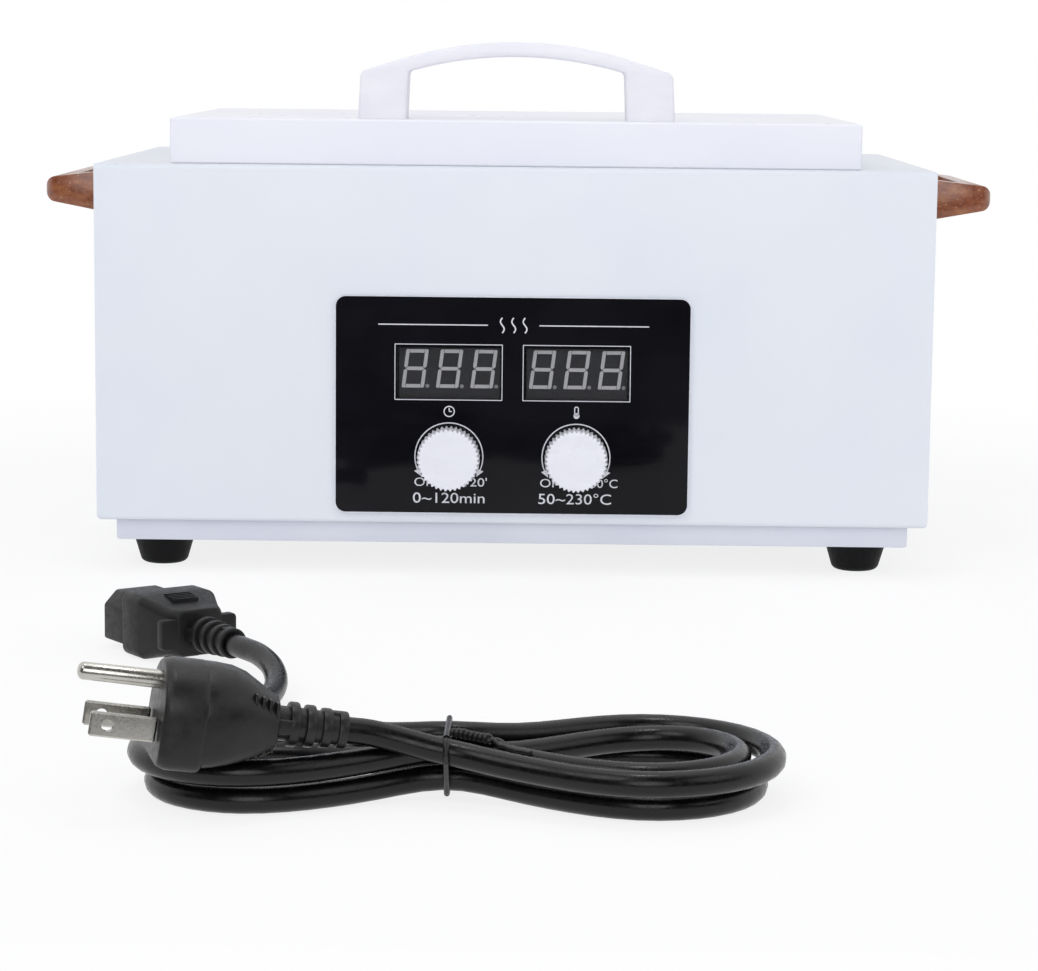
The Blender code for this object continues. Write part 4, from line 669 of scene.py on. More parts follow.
connectorShape = {
    "turn": 125.0,
    "relief": 0.023,
    "overlap": 0.00125,
    "grip": 0.027,
    "width": 0.028,
    "height": 0.0204,
    "neckWidth": 0.020,
    "neckHeight": 0.015,
    "earWidth": 0.027,
    "earLength": 0.004,
    "insertWidth": 0.0238,
    "insertHeight": 0.0160,
    "insertLength": 0.0170,
    "chamfer": 0.0045,
    "pinSpacing": 0.014,
    "pinOffset": 0.002,
    "slotWidth": 0.0026,
    "slotHeight": 0.0046,
    "slotCorner": 0.0006,
    "slotDepth": 0.008,
    "ribCount": 5,
    "ribPitch": 0.0014,
    "ribSize": (0.0006, 0.0095, 0.0016),
    "ribSunk": 0.0022,
    "ribClimb": 0.00022,
    "lift": 0.0003,
}


def crossSection(x, width, height, radius, rise=0.0, steps=5):
    return [(x, u, v + rise) for u, v in roundedBox(width, height, radius, steps)]


def makeConnector(start):
    s = connectorShape
    x = s["relief"] - s["overlap"]
    end = x + s["grip"]
    body = loft("connectorGrip", [
        crossSection(x, s["neckWidth"] * 0.8, s["neckHeight"], 0.003),
        crossSection(x + s["earLength"], s["neckWidth"], s["neckHeight"], 0.003),
        crossSection(x + s["grip"] * 0.3, s["neckWidth"] * 1.12, s["neckHeight"] * 1.08, 0.003),
        crossSection(x + s["grip"] * 0.58, s["width"], s["height"], 0.0028),
        crossSection(end, s["width"], s["height"], 0.0028),
    ])
    rounded(body, 0.0008, 3, 24)
    halfW, halfH, cut = s["insertWidth"] / 2, s["insertHeight"] / 2, s["chamfer"]
    nose = slab("connectorNose", [
        (-halfW, -halfH), (halfW, -halfH), (halfW, halfH - cut), (halfW - cut, halfH),
        (-halfW + cut, halfH), (-halfW, halfH - cut),
    ], end - 0.002, end + s["insertLength"], "X")
    rounded(nose, 0.0009, 3, 30)
    face = end + s["insertLength"]
    for k in (-1, 0, 1):
        rise = s["pinOffset"] if k == 0 else -s["pinOffset"]
        outline = roundedBox(s["slotWidth"], s["slotHeight"], s["slotCorner"], 3, (k * s["pinSpacing"] / 2, rise))
        cutAway(nose, slab("pinHole", outline, face - s["slotDepth"], face + 0.002, "X"))
    ears = slab("ears", roundedBox(s["earWidth"], s["neckHeight"] * 0.66, 0.0014, 4),
                x + 0.0002, x + s["earLength"], "X")
    rounded(ears, 0.0006, 2, 40)
    ribs = []
    wide, long, tall = s["ribSize"]
    for side in (-1, 1):
        for k in range(s["ribCount"]):
            at = x + s["grip"] * 0.36 + k * s["ribPitch"]
            rise = s["height"] / 2 - s["ribSunk"] + k * s["ribClimb"]
            rib = slab("gripRib", roundedBox(wide, long, 0.00028, 3, (at, 0.0)), 0.0, tall, "Z")
            ribs.append(moved(rib, Matrix.Diagonal((1, 1, side, 1)) @ Matrix.Translation((0, 0, rise))))
    relief = strainRelief("relief", s["relief"], finishes["connectorPvc"])
    body = joined("connectorBody", [body, nose, ears, *ribs, relief])
    reworked(body.data, facedOutwards)
    moved(body, Matrix.Translation((0, 0, s["lift"])) @ heading(start, s["turn"]))
    return settled(body, "connectorPvc", ["connector_body"], 40)


plugShape = {
    "turn": 195.0,
    "tilt": 9.0,
    "relief": 0.020,
    "overlap": 0.00125,
    "width": 0.027,
    "height": 0.0272,
    "axisRise": 0.0132,
    "length": 0.031,
    "neckWidth": 0.014,
    "gap": 0.0003,
    "pinRadius": 0.0024,
    "pinLength": 0.021,
    "pinRise": 0.0079,
    "pinSunk": 0.001,
    "finCount": 4,
    "finFirst": 0.0012,
    "finPitch": 0.0021,
    "finWidth": 0.0009,
    # share of the length, of the width, of the height below and above the cord's axis
    "shell": (
        (0.0, 0.52, 0.50, 0.50), (0.07, 0.60, 0.58, 0.56), (0.18, 0.74, 0.66, 0.72), (0.30, 0.87, 0.72, 0.88),
        (0.42, 0.945, 0.80, 0.965), (0.55, 0.98, 0.87, 0.99), (0.66, 0.985, 0.91, 0.995),
    ),
    "collar": ((0.62, 0.95, 0.93, 0.97), (0.66, 1.0, 1.0, 1.0), (0.93, 1.0, 1.0, 1.0), (1.0, 0.95, 0.94, 0.94)),
}


def plugSection(x, width, low, high, corner=0.004):
    # flat below with round corners, domed over the earth pin
    radius = width / 2
    lowLeft = arcPoints((-radius + corner, low + corner), corner, 180, 270, 5)
    lowRight = arcPoints((radius - corner, low + corner), corner, 270, 360, 5)
    dome = arcPoints((0.0, high - radius), radius, 0, 180, 20)
    return [(x, u, v) for u, v in (*lowLeft, *lowRight, *dome)]


def makePlug(start):
    s = plugShape
    x = s["relief"] - s["overlap"]
    low, high = -s["axisRise"], s["height"] - s["axisRise"]
    neck = s["neckWidth"] / 2
    shell, collar = [
        loft(name, [plugSection(x + s["length"] * along, s["width"] * wide, low * down, high * up)
                    for along, wide, down, up in s[name]])
        for name in ("shell", "collar")
    ]
    rounded(shell, 0.0007, 3, 40)
    rounded(collar, 0.0006, 3, 20)
    relief = strainRelief("relief", s["relief"], finishes["plugPvc"])
    fins = []
    for k in range(s["finCount"]):
        at = x + s["finFirst"] + k * s["finPitch"]
        half = neck * (1.02 + 0.11 * k)
        outline = roundedBox(s["finWidth"], 2 * half, 0.0004, 3, (at, 0.0))
        fin = slab("plugFin", outline, -half * 0.93, half * 0.9, "Z")
        fins.append(rounded(fin, 0.0003, 2, 40))
    body = joined("plugBody", [shell, collar, *fins, relief])
    reworked(body.data, facedOutwards)
    place = heading(start, s["turn"], s["tilt"])
    moved(body, place)
    settled(body, "plugPvc", ["plug_body"], 40)
    seat = x + s["length"] + s["gap"] - s["pinSunk"]
    r, long = s["pinRadius"], s["pinLength"] + s["pinSunk"]
    tip = arcPoints((long - r * 0.8, 0.0), r * 0.8, 0, 70, 6)
    pin = turned("earthPin", [(0.0, 0.0), (0.0, r), *[(a, b + r * 0.2 if b else 0.0) for a, b in reversed(tip)]])
    moved(pin, place @ Matrix.Translation((seat, 0, s["pinRise"])))
    settled(pin, "nickel", ["plug_earth_pin"], 40)
    return body, pin


tieShape = {
    "radius": 0.0008,
    "low": 0.0010,
    "twist": 0.010,
    "twistDrift": -0.003,
    "turns": 4.0,
    "steps": 48,
    "from": (0.0012, -0.0075),
    "over": ((0.0130, -0.0085), (0.0175, -0.0040), (0.0150, 0.0030), (0.0060, 0.0062), (-0.0090, 0.0068)),
    "aside": ((0.0150, -0.0120), (0.0220, -0.0160)),
}


def crossings(x):
    # where the lead passes through the plane at x
    places = []
    for a, b in zip(leadPoints, leadPoints[1:]):
        if (a.x - x) * (b.x - x) < 0:
            places.append(a.lerp(b, (x - a.x) / (b.x - a.x)))
    return places


def hull(points):
    # corners of the tightest loop round the points of a plane
    points = sorted(set(points))
    line = []
    for row in (points, points[::-1]):
        part = []
        for p in row:
            while len(part) > 1 and ((part[-1][0] - part[-2][0]) * (p[1] - part[-2][1])
                                     <= (part[-1][1] - part[-2][1]) * (p[0] - part[-2][0])):
                part.pop()
            part.append(p)
        line += part[:-1]
    return line


def draped(x, y, radius):
    # a thin wire's height where it lies on the cords
    reach = leadShape["radius"] + radius
    height = radius
    for p in leadPoints:
        gap = (p.x - x) ** 2 + (p.y - y) ** 2
        if gap < reach ** 2:
            height = max(height, p.z + math.sqrt(reach ** 2 - gap))
    return height


def drapedLine(spots, radius):
    route = smoothLine([(*spot, 0.0) for spot in spots], 0.0012)
    heights = [draped(p.x, p.y, radius) for p in route]
    for _ in range(3):
        heights = [max(h, sum(heights[max(k - 2, 0):k + 3]) / len(heights[max(k - 2, 0):k + 3]))
                   for k, h in enumerate(heights)]
    return [Vector((p.x, p.y, h)) for p, h in zip(route, heights)]


def makeTie():
    # a coated wire drawn tight round the waist, twisted on top, with two loose ends
    s = tieShape
    centre = leadShape["centre"]
    reach = leadShape["radius"] + s["radius"] * 0.7
    rims = [p for c in crossings(centre.x) for p in arcPoints((c.y, c.z), reach, 0, 350, 35)]
    loop = [Vector((centre.x, u, max(v, s["low"]))) for u, v in hull([(round(u, 6), round(v, 6)) for u, v in rims])]
    loop = smoothLine([*loop, loop[0]], 0.002)
    for point in loop:
        point.z = max(point.z, s["low"])
    pieces = [tubeAlong("tieLoop", loop, s["radius"], 12)]
    middle = Vector((centre.x + s["from"][0], centre.y + s["from"][1], 0.0))
    for phase, way in ((0.0, "over"), (math.pi, "aside")):
        ends = [Vector((centre.x + u, centre.y + v)) for u, v in s[way]]
        last = Vector((middle.x + s["twist"], middle.y + s["twistDrift"], 0.0))
        axis = drapedLine([(middle.x, middle.y), (last.x, last.y)], 2 * s["radius"])
        run = (axis[-1] - axis[0]).normalized()
        side = run.cross(Vector((0.0, 0.0, 1.0))).normalized()
        wound = []
        for k in range(s["steps"] + 1):
            spot = k / s["steps"] * (len(axis) - 1)
            at = axis[int(spot)].lerp(axis[min(int(spot) + 1, len(axis) - 1)], spot % 1.0)
            angle = phase + 2 * math.pi * s["turns"] * k / s["steps"]
            wound.append(at + (side * math.cos(angle) + Vector((0, 0, 1)) * math.sin(angle)) * s["radius"] * 0.9)
        loose = drapedLine([(wound[-1].x, wound[-1].y), *[(e.x, e.y) for e in ends]], s["radius"] * 0.8)
        path = smoothLine([*wound, *loose[3:]], 0.0009)
        pieces.append(tubeAlong("tieEnd", path, s["radius"] * 0.85, 10))
    tie = joined("cordTie", pieces)
    return settled(tie, "tieWire", ["cord_tie"], 50)


leadPoints = leadLine()
lead = makeLead(leadPoints)
connector = makeConnector(leadPoints[0])
plug, earthPin = makePlug(leadPoints[-1])
tie = makeTie()
print("mains lead made")


# Copies of one piece on the points of a mesh: feet, screws, display digits

def copiesTree():
    tree, entry = startRule("copiesOnPoints", {
        "Piece": "Object", "Turn": "Vector", "Loose turn": "Float", "Finish": "Material"})
    source = addNode(tree, "GeometryNodeObjectInfo", {"Object": entry["Piece"]})
    copies = addNode(tree, "GeometryNodeInstanceOnPoints", {
        "Points": entry["Geometry"], "Instance": source.outputs["Geometry"], "Rotation": entry["Turn"]})
    loose = addNode(tree, "FunctionNodeRandomValue", {"Seed": 7, 3: entry["Loose turn"]}, data_type="FLOAT")
    spin = addNode(tree, "ShaderNodeCombineXYZ", {"Z": loose.outputs[1]})
    turnedOn = addNode(tree, "GeometryNodeRotateInstances", {"Instances": copies, "Rotation": spin})
    return endRule(tree, entry, turnedOn)


copiesOnPoints = copiesTree()


def copied(name, piece, places, finish, turn=(0.0, 0.0, 0.0), loose=0.0):
    host = newPiece(name, places, [])
    values = {"Piece": piece, "Turn": turn, "Loose turn": loose, "Finish": finishes[finish]}
    return shaped(host, copiesOnPoints, values)


# Control panel: printed marks, display digits, rim

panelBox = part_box("panel_overlay")
panelShape = {
    "front": panelBox[0].y,
    "back": panelBox[1].y,
    "left": panelBox[0].x - 0.00075,
    "right": panelBox[1].x + 0.00028,
    "low": panelBox[0].z + 0.00034,
    "high": panelBox[1].z + 0.00043,
    "corner": 0.0037,
    "rim": 0.0003,
    "dialX": 0.0236,
    "dialZ": 0.0453,
    "displayX": {-1: -0.02394, 1: 0.02348},
    "displayZ": 0.0768,
    "frameWidth": 0.03995,
    "frameHeight": 0.0209,
    "line": 0.00028,
    "inkHeight": 0.00006,
    "arcRadius": 0.01262,
    "arcWidth": 0.00042,
    "arcStart": -23.0,
    "arcEnd": 203.0,
    "arrow": 0.003,
}
# generic marks where the photograph's words are: heat waves between two lines, a clock and a thermometer
markShape = {
    "waveX": 0.0042,
    "waveZ": 0.0916,
    "waveHeight": 0.0056,
    "waveSway": 0.0007,
    "waveWidth": 0.0005,
    "line": (0.0095, 0.0500, 0.0944),
    "lineWidth": 0.0004,
    "iconZ": 0.0622,
    "clock": (0.0042, 0.0034),
    "hands": (((0.0, 0.0013), (0.0, 0.0)), ((-0.0001, 0.0), (0.0010, 0.0))),
    "glass": ((0.0017, 0.0036, 0.0008), (0.0010, 0.0029, 0.00045)),
    "glassRise": 0.0005,
    "bulb": 0.0022,
    "bulbDrop": 0.0012,
}

# text, left and right end, baseline, height of a figure
panelText = (
    ("OFF", -0.0364, -0.0274, 0.0342, 0.0032),
    ("120'", -0.0176, -0.0094, 0.0342, 0.0032),
    ("OFF", 0.0104, 0.0194, 0.0342, 0.0032),
    ("230°C", 0.0266, 0.0392, 0.0342, 0.0032),
    ("0~120min", -0.0369, -0.0102, 0.0279, 0.0039),
    ("50~230°C", 0.0098, 0.0369, 0.0279, 0.0039),
)


def ringOutline(name, outer, inner, low, high):
    # flat frame between two outlines of as many points
    count = len(outer)
    points = [(u, w, v) for w in (low, high) for line in (outer, inner) for u, v in line]
    faces = []
    for i in range(count):
        j = (i + 1) % count
        a, b, c, d = i, j, count + j, count + i
        faces += [(a, b, c, d), (2 * count + a, 2 * count + b, 2 * count + c, 2 * count + d)]
        faces += [(a, b, 2 * count + b, 2 * count + a), (d, c, 2 * count + c, 2 * count + d)]
    return newPiece(name, points, faces)


def strip(name, line, width, low, high):
    # printed line of one width along a path in the panel's plane
    left = []
    right = []
    for k, (u, v) in enumerate(line):
        before = Vector(line[max(k - 1, 0)])
        after = Vector(line[min(k + 1, len(line) - 1)])
        run = (after - before).normalized() * width / 2
        left.append((u - run.y, v + run.x))
        right.append((u + run.y, v - run.x))
    return slab(name, left + right[::-1], low, high)


def lettering(text, left, right, base, cap, low, high):
    # plain figures in the built-in typeface, stretched to the width measured
    curve = bpy.data.curves.new("figures", "FONT")
    curve.body = text
    curve.size = cap / 0.70
    curve.resolution_u = 4
    curve.extrude = (high - low) / 2
    source = inScene("figures", curve)
    graph = bpy.context.evaluated_depsgraph_get()
    mesh = bpy.data.meshes.new_from_object(source.evaluated_get(graph))
    dropped(source)
    piece = inScene("figures", mesh)
    start = min(v.co.x for v in mesh.vertices)
    wide = max(v.co.x for v in mesh.vertices) - start
    moved(piece, Matrix.Diagonal(((right - left) / wide, 1, 1, 1)) @ Matrix.Translation((-start, 0, 0)))
    return moved(piece, Matrix.Translation((left, (low + high) / 2, base)) @ spun(90, "X"))


def genericMarks(low, high):
    s = markShape
    marks = []
    for k in (-1, 0, 1):
        sway = [s["waveSway"] * math.sin(2 * math.pi * t / 16) for t in range(17)]
        wave = [(k * s["waveX"] + u, s["waveZ"] + s["waveHeight"] * t / 16) for t, u in enumerate(sway)]
        marks.append(strip("heatWave", wave, s["waveWidth"], low, high))
    near, far, height = s["line"]
    for side in (-1, 1):
        marks.append(strip("headLine", [(side * near, height), (side * far, height)], s["lineWidth"], low, high))
    x, z = panelShape["dialX"], s["iconZ"]
    rings = [roundedBox(wide, wide, wide / 2, 8, (-x, z)) for wide in s["clock"]]
    marks.append(ringOutline("clockRing", *rings, low, high))
    for hand in s["hands"]:
        marks.append(strip("clockHand", [(u - x, z + v) for u, v in hand], s["lineWidth"], low, high))
    rings = [roundedBox(wide, tall, corner, 6, (x, z + s["glassRise"])) for wide, tall, corner in s["glass"]]
    marks.append(ringOutline("glassTube", *rings, low, high))
    bulb = roundedBox(s["bulb"], s["bulb"], s["bulb"] / 2, 6, (x, z - s["bulbDrop"]))
    marks.append(slab("glassBulb", bulb, low, high))
    return marks


def makePanelPrint():
    s = panelShape
    low, high = s["front"] - s["inkHeight"], s["front"] + 0.00002
    marks = []
    for sx in (-1, 1):
        x = sx * s["dialX"]
        wide, tall = s["frameWidth"] - 2 * s["line"], s["frameHeight"] - 2 * s["line"]
        middle = (s["displayX"][sx], s["displayZ"])
        outer = roundedBox(s["frameWidth"], s["frameHeight"], 0.0002, 2, middle)
        inner = roundedBox(wide, tall, 0.0001, 2, middle)
        marks.append(ringOutline("displayFrame", outer, inner, low, high))
        sweep = arcPoints((x, s["dialZ"]), s["arcRadius"], s["arcStart"], s["arcEnd"], 72)
        marks.append(strip("dialArc", sweep, s["arcWidth"], low, high))
        for end, way in ((s["arcStart"], -1), (s["arcEnd"], 1)):
            a = math.radians(end)
            tip = Vector((x, s["dialZ"])) + Vector((math.cos(a), math.sin(a))) * s["arcRadius"]
            run = Vector((-math.sin(a), math.cos(a))) * way * s["arrow"]
            side = Vector((math.cos(a), math.sin(a))) * s["arrow"] * 0.45
            head = [tip + run * 0.95 - side * 0.2, tip + side, tip - side]
            marks.append(slab("arrowHead", [tuple(p) for p in head], low, high))
    marks += [lettering(*row, low, high) for row in panelText]
    marks += genericMarks(low, high)
    return settled(joined("panelPrint", marks), "ink")


def makeOverlay():
    # the film's own openings stay where they are; its outline is the one measured
    s = panelShape
    overlay = mergedCopy("panelOverlay", "panel_overlay")
    for corner in overlay.data.vertices:
        if abs(corner.co.x) > 0.055:
            corner.co.x += s["left"] - panelBox[0].x if corner.co.x < 0 else s["right"] - panelBox[1].x
            top = corner.co.z > 0.07
            corner.co.z += s["high"] - panelBox[1].z if top else s["low"] - panelBox[0].z
    settled(overlay, "overlay", ["panel_overlay"], 30)
    # the overlay is clear acrylic printed on its back; its cut edge is a pale ring, and that pale colour is a
    # painted highlight standing in for the light the clear edge catches
    wide, tall = s["right"] - s["left"], s["high"] - s["low"]
    middle = ((s["left"] + s["right"]) / 2, (s["low"] + s["high"]) / 2)
    outer = roundedBox(wide + 2 * s["rim"], tall + 2 * s["rim"], s["corner"] + s["rim"], 8, middle)
    inner = roundedBox(wide - 0.0001, tall - 0.0001, s["corner"], 8, middle)
    rim = ringOutline("panelRim", outer, inner, s["front"] - 0.00002, s["back"])
    return settled(rim, "rim")


digitShape = {
    "halfWidth": 0.00350,
    "halfHeight": 0.0065,
    "thickness": 0.0013,
    "gap": 0.00016,
    "slant": 7.1,
    "pitch": 0.01275,
    "rise": 0.0017,
    "point": 0.0007,
    "pointPlace": 0.0054,
    "height": 0.00012,
}


def makeDigit():
    # seven slanted bars at the origin: the upright ones reach into the corners
    s = digitShape
    w, h, t, g = s["halfWidth"], s["halfHeight"], s["thickness"] / 2, s["gap"]
    bars = [[(-w + g, 0), (-w + g + t, -t), (w - g - t, -t), (w - g, 0), (w - g - t, t), (-w + g + t, t)]]
    for v in (-1, 1):
        long = w - t - g
        bars.append([(-long, v * h - t), (long, v * h - t), (long, v * h + t), (-long, v * h + t)])
        for u in (-1, 1):
            bars.append([
                (u * (w - t), v * (h + t)), (u * (w + t * 0.4), v * (h + t)), (u * (w + t), v * (h + t * 0.4)),
                (u * (w + t), v * (t + g)), (u * w, v * g), (u * (w - t), v * (t + g)),
            ])
    lean = math.tan(math.radians(s["slant"]))
    return joined("digit", [slab("bar", [(u + v * lean, v) for u, v in bar], -s["height"], 0.0) for bar in bars])


def makeDigits():
    s = digitShape
    digit = makeDigit()
    point = slab("point", arcPoints((0.0, 0.0), s["point"], 0, 345, 23), -s["height"], 0.0)
    drop = Vector((s["pointPlace"] - s["halfHeight"] * math.tan(math.radians(s["slant"])), 0.0, -s["halfHeight"]))
    for side in ("left", "right"):
        middle = middleOf(side + "_display")
        middle = Vector((middle.x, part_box(side + "_display")[0].y, middle.z + s["rise"]))
        places = [middle + Vector((k * s["pitch"], 0.0, 0.0)) for k in (-1, 0, 1)]
        settled(copied(side + "Digits", digit, places, "segments"), "segments")
        settled(copied(side + "Points", point, [p + drop for p in places], "points"), "points")
    dropped(digit, point)


makePanelPrint()
makeOverlay()
makeDigits()
print("control panel made")


# Knobs: a turned cap whose rim is knurled by a rule

knobShape = {
    "radius": 0.01162,
    "depth": 0.0112,
    "edge": 0.0012,
    "crown": 0.00045,
    "bore": 0.0033,
    "boreDepth": 0.0085,
    "teeth": 40,
    "cut": 0.0008,
    "band": 0.0016,
    "sunk": 0.0003,
    "steps": 400,
}


def knurlTree():
    # presses round grooves into the rim of a piece turned about X
    tree, entry = startRule("knurledRim", {
        "Teeth": "Int", "Depth": "Float", "Rim radius": "Float", "Band": "Float", "Finish": "Material"})
    place = addNode(tree, "GeometryNodeInputPosition")
    axes = addNode(tree, "ShaderNodeSeparateXYZ", {0: place})
    angle = addNode(tree, "ShaderNodeMath", {0: axes.outputs[2], 1: axes.outputs[1]}, operation="ARCTAN2")
    waves = addNode(tree, "ShaderNodeMath", {0: angle, 1: entry["Teeth"]}, operation="MULTIPLY")
    wave = addNode(tree, "ShaderNodeMath", {0: waves}, operation="COSINE")
    share = addNode(tree, "ShaderNodeMapRange", {"From Min": -1.0, "From Max": 1.0, "Value": wave})
    spoke = addNode(tree, "ShaderNodeCombineXYZ", {"Y": axes.outputs[1], "Z": axes.outputs[2]})
    radius = addNode(tree, "ShaderNodeVectorMath", {0: spoke}, operation="LENGTH")
    low = addNode(tree, "ShaderNodeMath", {0: entry["Rim radius"], 1: entry["Band"]}, operation="SUBTRACT")
    near = addNode(tree, "ShaderNodeMapRange", {
        "Value": radius.outputs["Value"], "From Min": low, "From Max": entry["Rim radius"]})
    cutHere = addNode(tree, "ShaderNodeMath", {0: near, 1: entry["Depth"]}, operation="MULTIPLY")
    depth = addNode(tree, "ShaderNodeMath", {0: cutHere, 1: share}, operation="MULTIPLY")
    back = addNode(tree, "ShaderNodeMath", {1: -1.0, 0: depth}, operation="MULTIPLY")
    unit = addNode(tree, "ShaderNodeVectorMath", {0: spoke}, operation="NORMALIZE")
    shift = addNode(tree, "ShaderNodeVectorMath", {0: unit, "Scale": back}, operation="SCALE")
    shifted = addNode(tree, "GeometryNodeSetPosition", {"Geometry": entry["Geometry"], "Offset": shift})
    return endRule(tree, entry, shifted)


knurledRim = knurlTree()


def makeKnob(name, x, node, body):
    s = knobShape
    r = s["radius"]
    back = panelShape["front"] - s["sunk"]
    edge = arcPoints((s["depth"] - s["edge"], r - s["edge"]), s["edge"], 0, 90, 6)
    crown = [(s["depth"] - s["crown"] * (k / 5) ** 2, (r - s["edge"]) * k / 5) for k in range(5)]
    profile = [
        *crown, *edge,
        (s["depth"] * 0.62, r), (s["depth"] * 0.34, r), (0.0008, r), (0.0, r - 0.0006),
        (0.0, s["bore"]), (s["boreDepth"], s["bore"]), (s["boreDepth"], 0.0),
    ]
    knob = turned(name, profile, s["steps"])
    shaped(knob, knurledRim, {
        "Teeth": s["teeth"], "Depth": s["cut"], "Rim radius": r, "Band": s["band"],
        "Finish": finishes["knobPlastic"],
    })
    moved(knob, Matrix.Translation((x, back, panelShape["dialZ"])) @ spun(-90, "Z"))
    return settled(knob, "knobPlastic", [node], 30, body)


makeKnob("timeKnob", -panelShape["dialX"], "time_knob", "time_dial")
makeKnob("temperatureKnob", panelShape["dialX"], "temperature_knob", "temperature_dial")
print("knobs made")


# Lid handle: straight legs, sloping shoulders and an arched grip

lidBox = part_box("lid_cover")
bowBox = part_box("lid_handle")
bowShape = {
    "foot": lidBox[1].z + 0.00002,
    "front": bowBox[0].y,
    "back": bowBox[1].y,
    "width": 0.1197,
    "topWidth": 0.1178,
    "legHeight": 0.0175,
    "kneeWidth": 0.0892,
    "kneeHeight": 0.0221,
    "peak": 0.0290,
    "opening": 0.0830,
    "openingTop": 0.0814,
    "openingSide": 0.0177,
    "openingPeak": 0.0235,
    "edge": 0.0012,
    "shoulder": 0.0012,
}


def bowArc(halfWidth, low, peak, steps):
    # arch from left to right through its peak
    rise = peak - low
    radius = (halfWidth ** 2 + rise ** 2) / (2 * rise)
    sweep = math.degrees(math.asin(halfWidth / radius))
    return arcPoints((0.0, peak - radius), radius, 90 + sweep, 90 - sweep, steps)


def makeLidHandle():
    s = bowShape
    shoulder = s["shoulder"]
    buried = -2 * s["edge"]
    outer = [
        (-s["width"] / 2, buried), (-s["topWidth"] / 2, s["legHeight"] - shoulder),
        (-s["topWidth"] / 2 + shoulder, s["legHeight"] + shoulder / 3),
        *bowArc(s["kneeWidth"] / 2, s["kneeHeight"], s["peak"], 28),
        (s["topWidth"] / 2 - shoulder, s["legHeight"] + shoulder / 3),
        (s["topWidth"] / 2, s["legHeight"] - shoulder), (s["width"] / 2, buried),
    ]
    inner = [
        (s["opening"] / 2, buried), *reversed(bowArc(s["openingTop"] / 2, s["openingSide"], s["openingPeak"], 28)),
        (-s["opening"] / 2, buried),
    ]
    outline = [(u, v + s["foot"]) for u, v in outer + inner]
    bow = slab("lidHandle", outline, s["front"], s["back"])
    rounded(bow, s["edge"], 4, 50)
    trimmed(bow, (0.0, 0.0, s["foot"]), (0.0, 0.0, -1.0))
    return settled(bow, "handlePlastic", ["lid_handle"], 30, "lid")


makeLidHandle()


# Side handles: phenolic loops, deep at the casing and thinner at the outer bar

gripShape = {
    "root": 0.155,
    "reach": {-1: 0.0261, 1: 0.0277},
    "middleY": 0.0064,
    "middleZ": 0.1395,
    "length": 0.097,
    "strip": 0.011,
    "rootHeight": 0.0164,
    "tipHeight": 0.0098,
    "tipLift": 0.0009,
    "tipRound": 0.0043,
    "outerCorner": 0.006,
    "innerCorner": 0.004,
    "edge": 0.0004,
}


def makeGrip(name, side, node):
    # tapered plate with a round end, hollowed to a loop
    s = gripShape
    root, tip, r = s["rootHeight"] / 2, s["tipHeight"] / 2, s["tipRound"]
    reach = s["reach"][side]
    nose = reach - r
    outline = [(0.0003, -root), *arcPoints((nose, s["tipLift"] - tip + r), r, -86, 0, 8)]
    outline += [*arcPoints((nose, s["tipLift"] + tip - r), r, 0, 86, 8), (0.0003, root)]
    grip = slab(name, [(u, v + s["middleZ"]) for u, v in outline], s["middleY"] - s["length"] / 2,
                s["middleY"] + s["length"] / 2)
    def block(width, length, corner):
        outline = roundedBox(width, length, corner, 8, (0.0, s["middleY"]))
        return slab("block", outline, s["middleZ"] - 0.02, s["middleZ"] + 0.02, "Z")
    cutAway(grip, block(2 * (reach - s["strip"]), s["length"] - 2 * s["strip"], s["innerCorner"]))
    cutAway(grip, block(2 * reach + 0.0002, s["length"] + 0.0002, s["outerCorner"]), "INTERSECT")
    rounded(grip, s["edge"], 2, 40)
    moved(grip, Matrix.Translation((side * s["root"], 0.0, 0.0)) @ Matrix.Diagonal((side, 1, 1, 1)))
    if side < 0:
        grip.data.flip_normals()
    return settled(grip, "phenolic", [node], 30)


makeGrip("leftSideHandle", -1, "left_side_handle")
makeGrip("rightSideHandle", 1, "right_side_handle")
print("handles made")


# Rubber feet

footShape = {
    "top": 0.0119,
    "bottom": 0.0092,
    "height": 0.0119,
    "edge": 0.0027,
    "recess": 0.0042,
    "recessDepth": 0.004,
    "neck": 0.0027,
    "neckTop": 0.0137,
    "bulb": 0.0038,
    "bulbTop": 0.0152,
    "tip": 0.0176,
    "tipRadius": 0.0015,
    "bevel": 0.0004,
    "aside": 0.0009,
    "loose": 0.6,
}


def makeFeet():
    s = footShape
    edge = arcPoints((s["edge"], s["bottom"] - s["edge"]), s["edge"], 180, 108, 8)
    bevel = s["bevel"]
    profile = [
        (s["recessDepth"], 0.0), (s["recessDepth"], s["recess"]), (bevel, s["recess"]), (0.0, s["recess"] + bevel),
        *edge, (s["height"] - bevel, s["top"]), (s["height"], s["top"] - bevel), (s["height"], s["neck"]),
        (s["neckTop"], s["neck"]), (s["neckTop"] + 0.0002, s["bulb"]), (s["bulbTop"], s["bulb"] * 0.9),
        (s["tip"], s["tipRadius"]), (s["tip"], 0.0),
    ]
    foot = moved(turned("foot", profile, 56), spun(-90, "Y"))
    names = ["left_front_foot", "left_rear_foot", "right_front_foot", "right_rear_foot"]
    middles = [middleOf(node) for node in names]
    places = [(middle.x - s["aside"], middle.y, 0.0) for middle in middles]
    feet = copied("rubberFeet", foot, places, "rubber", loose=s["loose"])
    dropped(foot)
    return settled(feet, "rubber", names, 40)


makeFeet()
print("feet made")


# Lift rings: split rings of drawn wire, lying on the tray

ringShape = {"radius": 0.0237, "wire": 0.0013, "height": 0.0902, "split": 150.0, "gap": 0.5, "steps": 144}


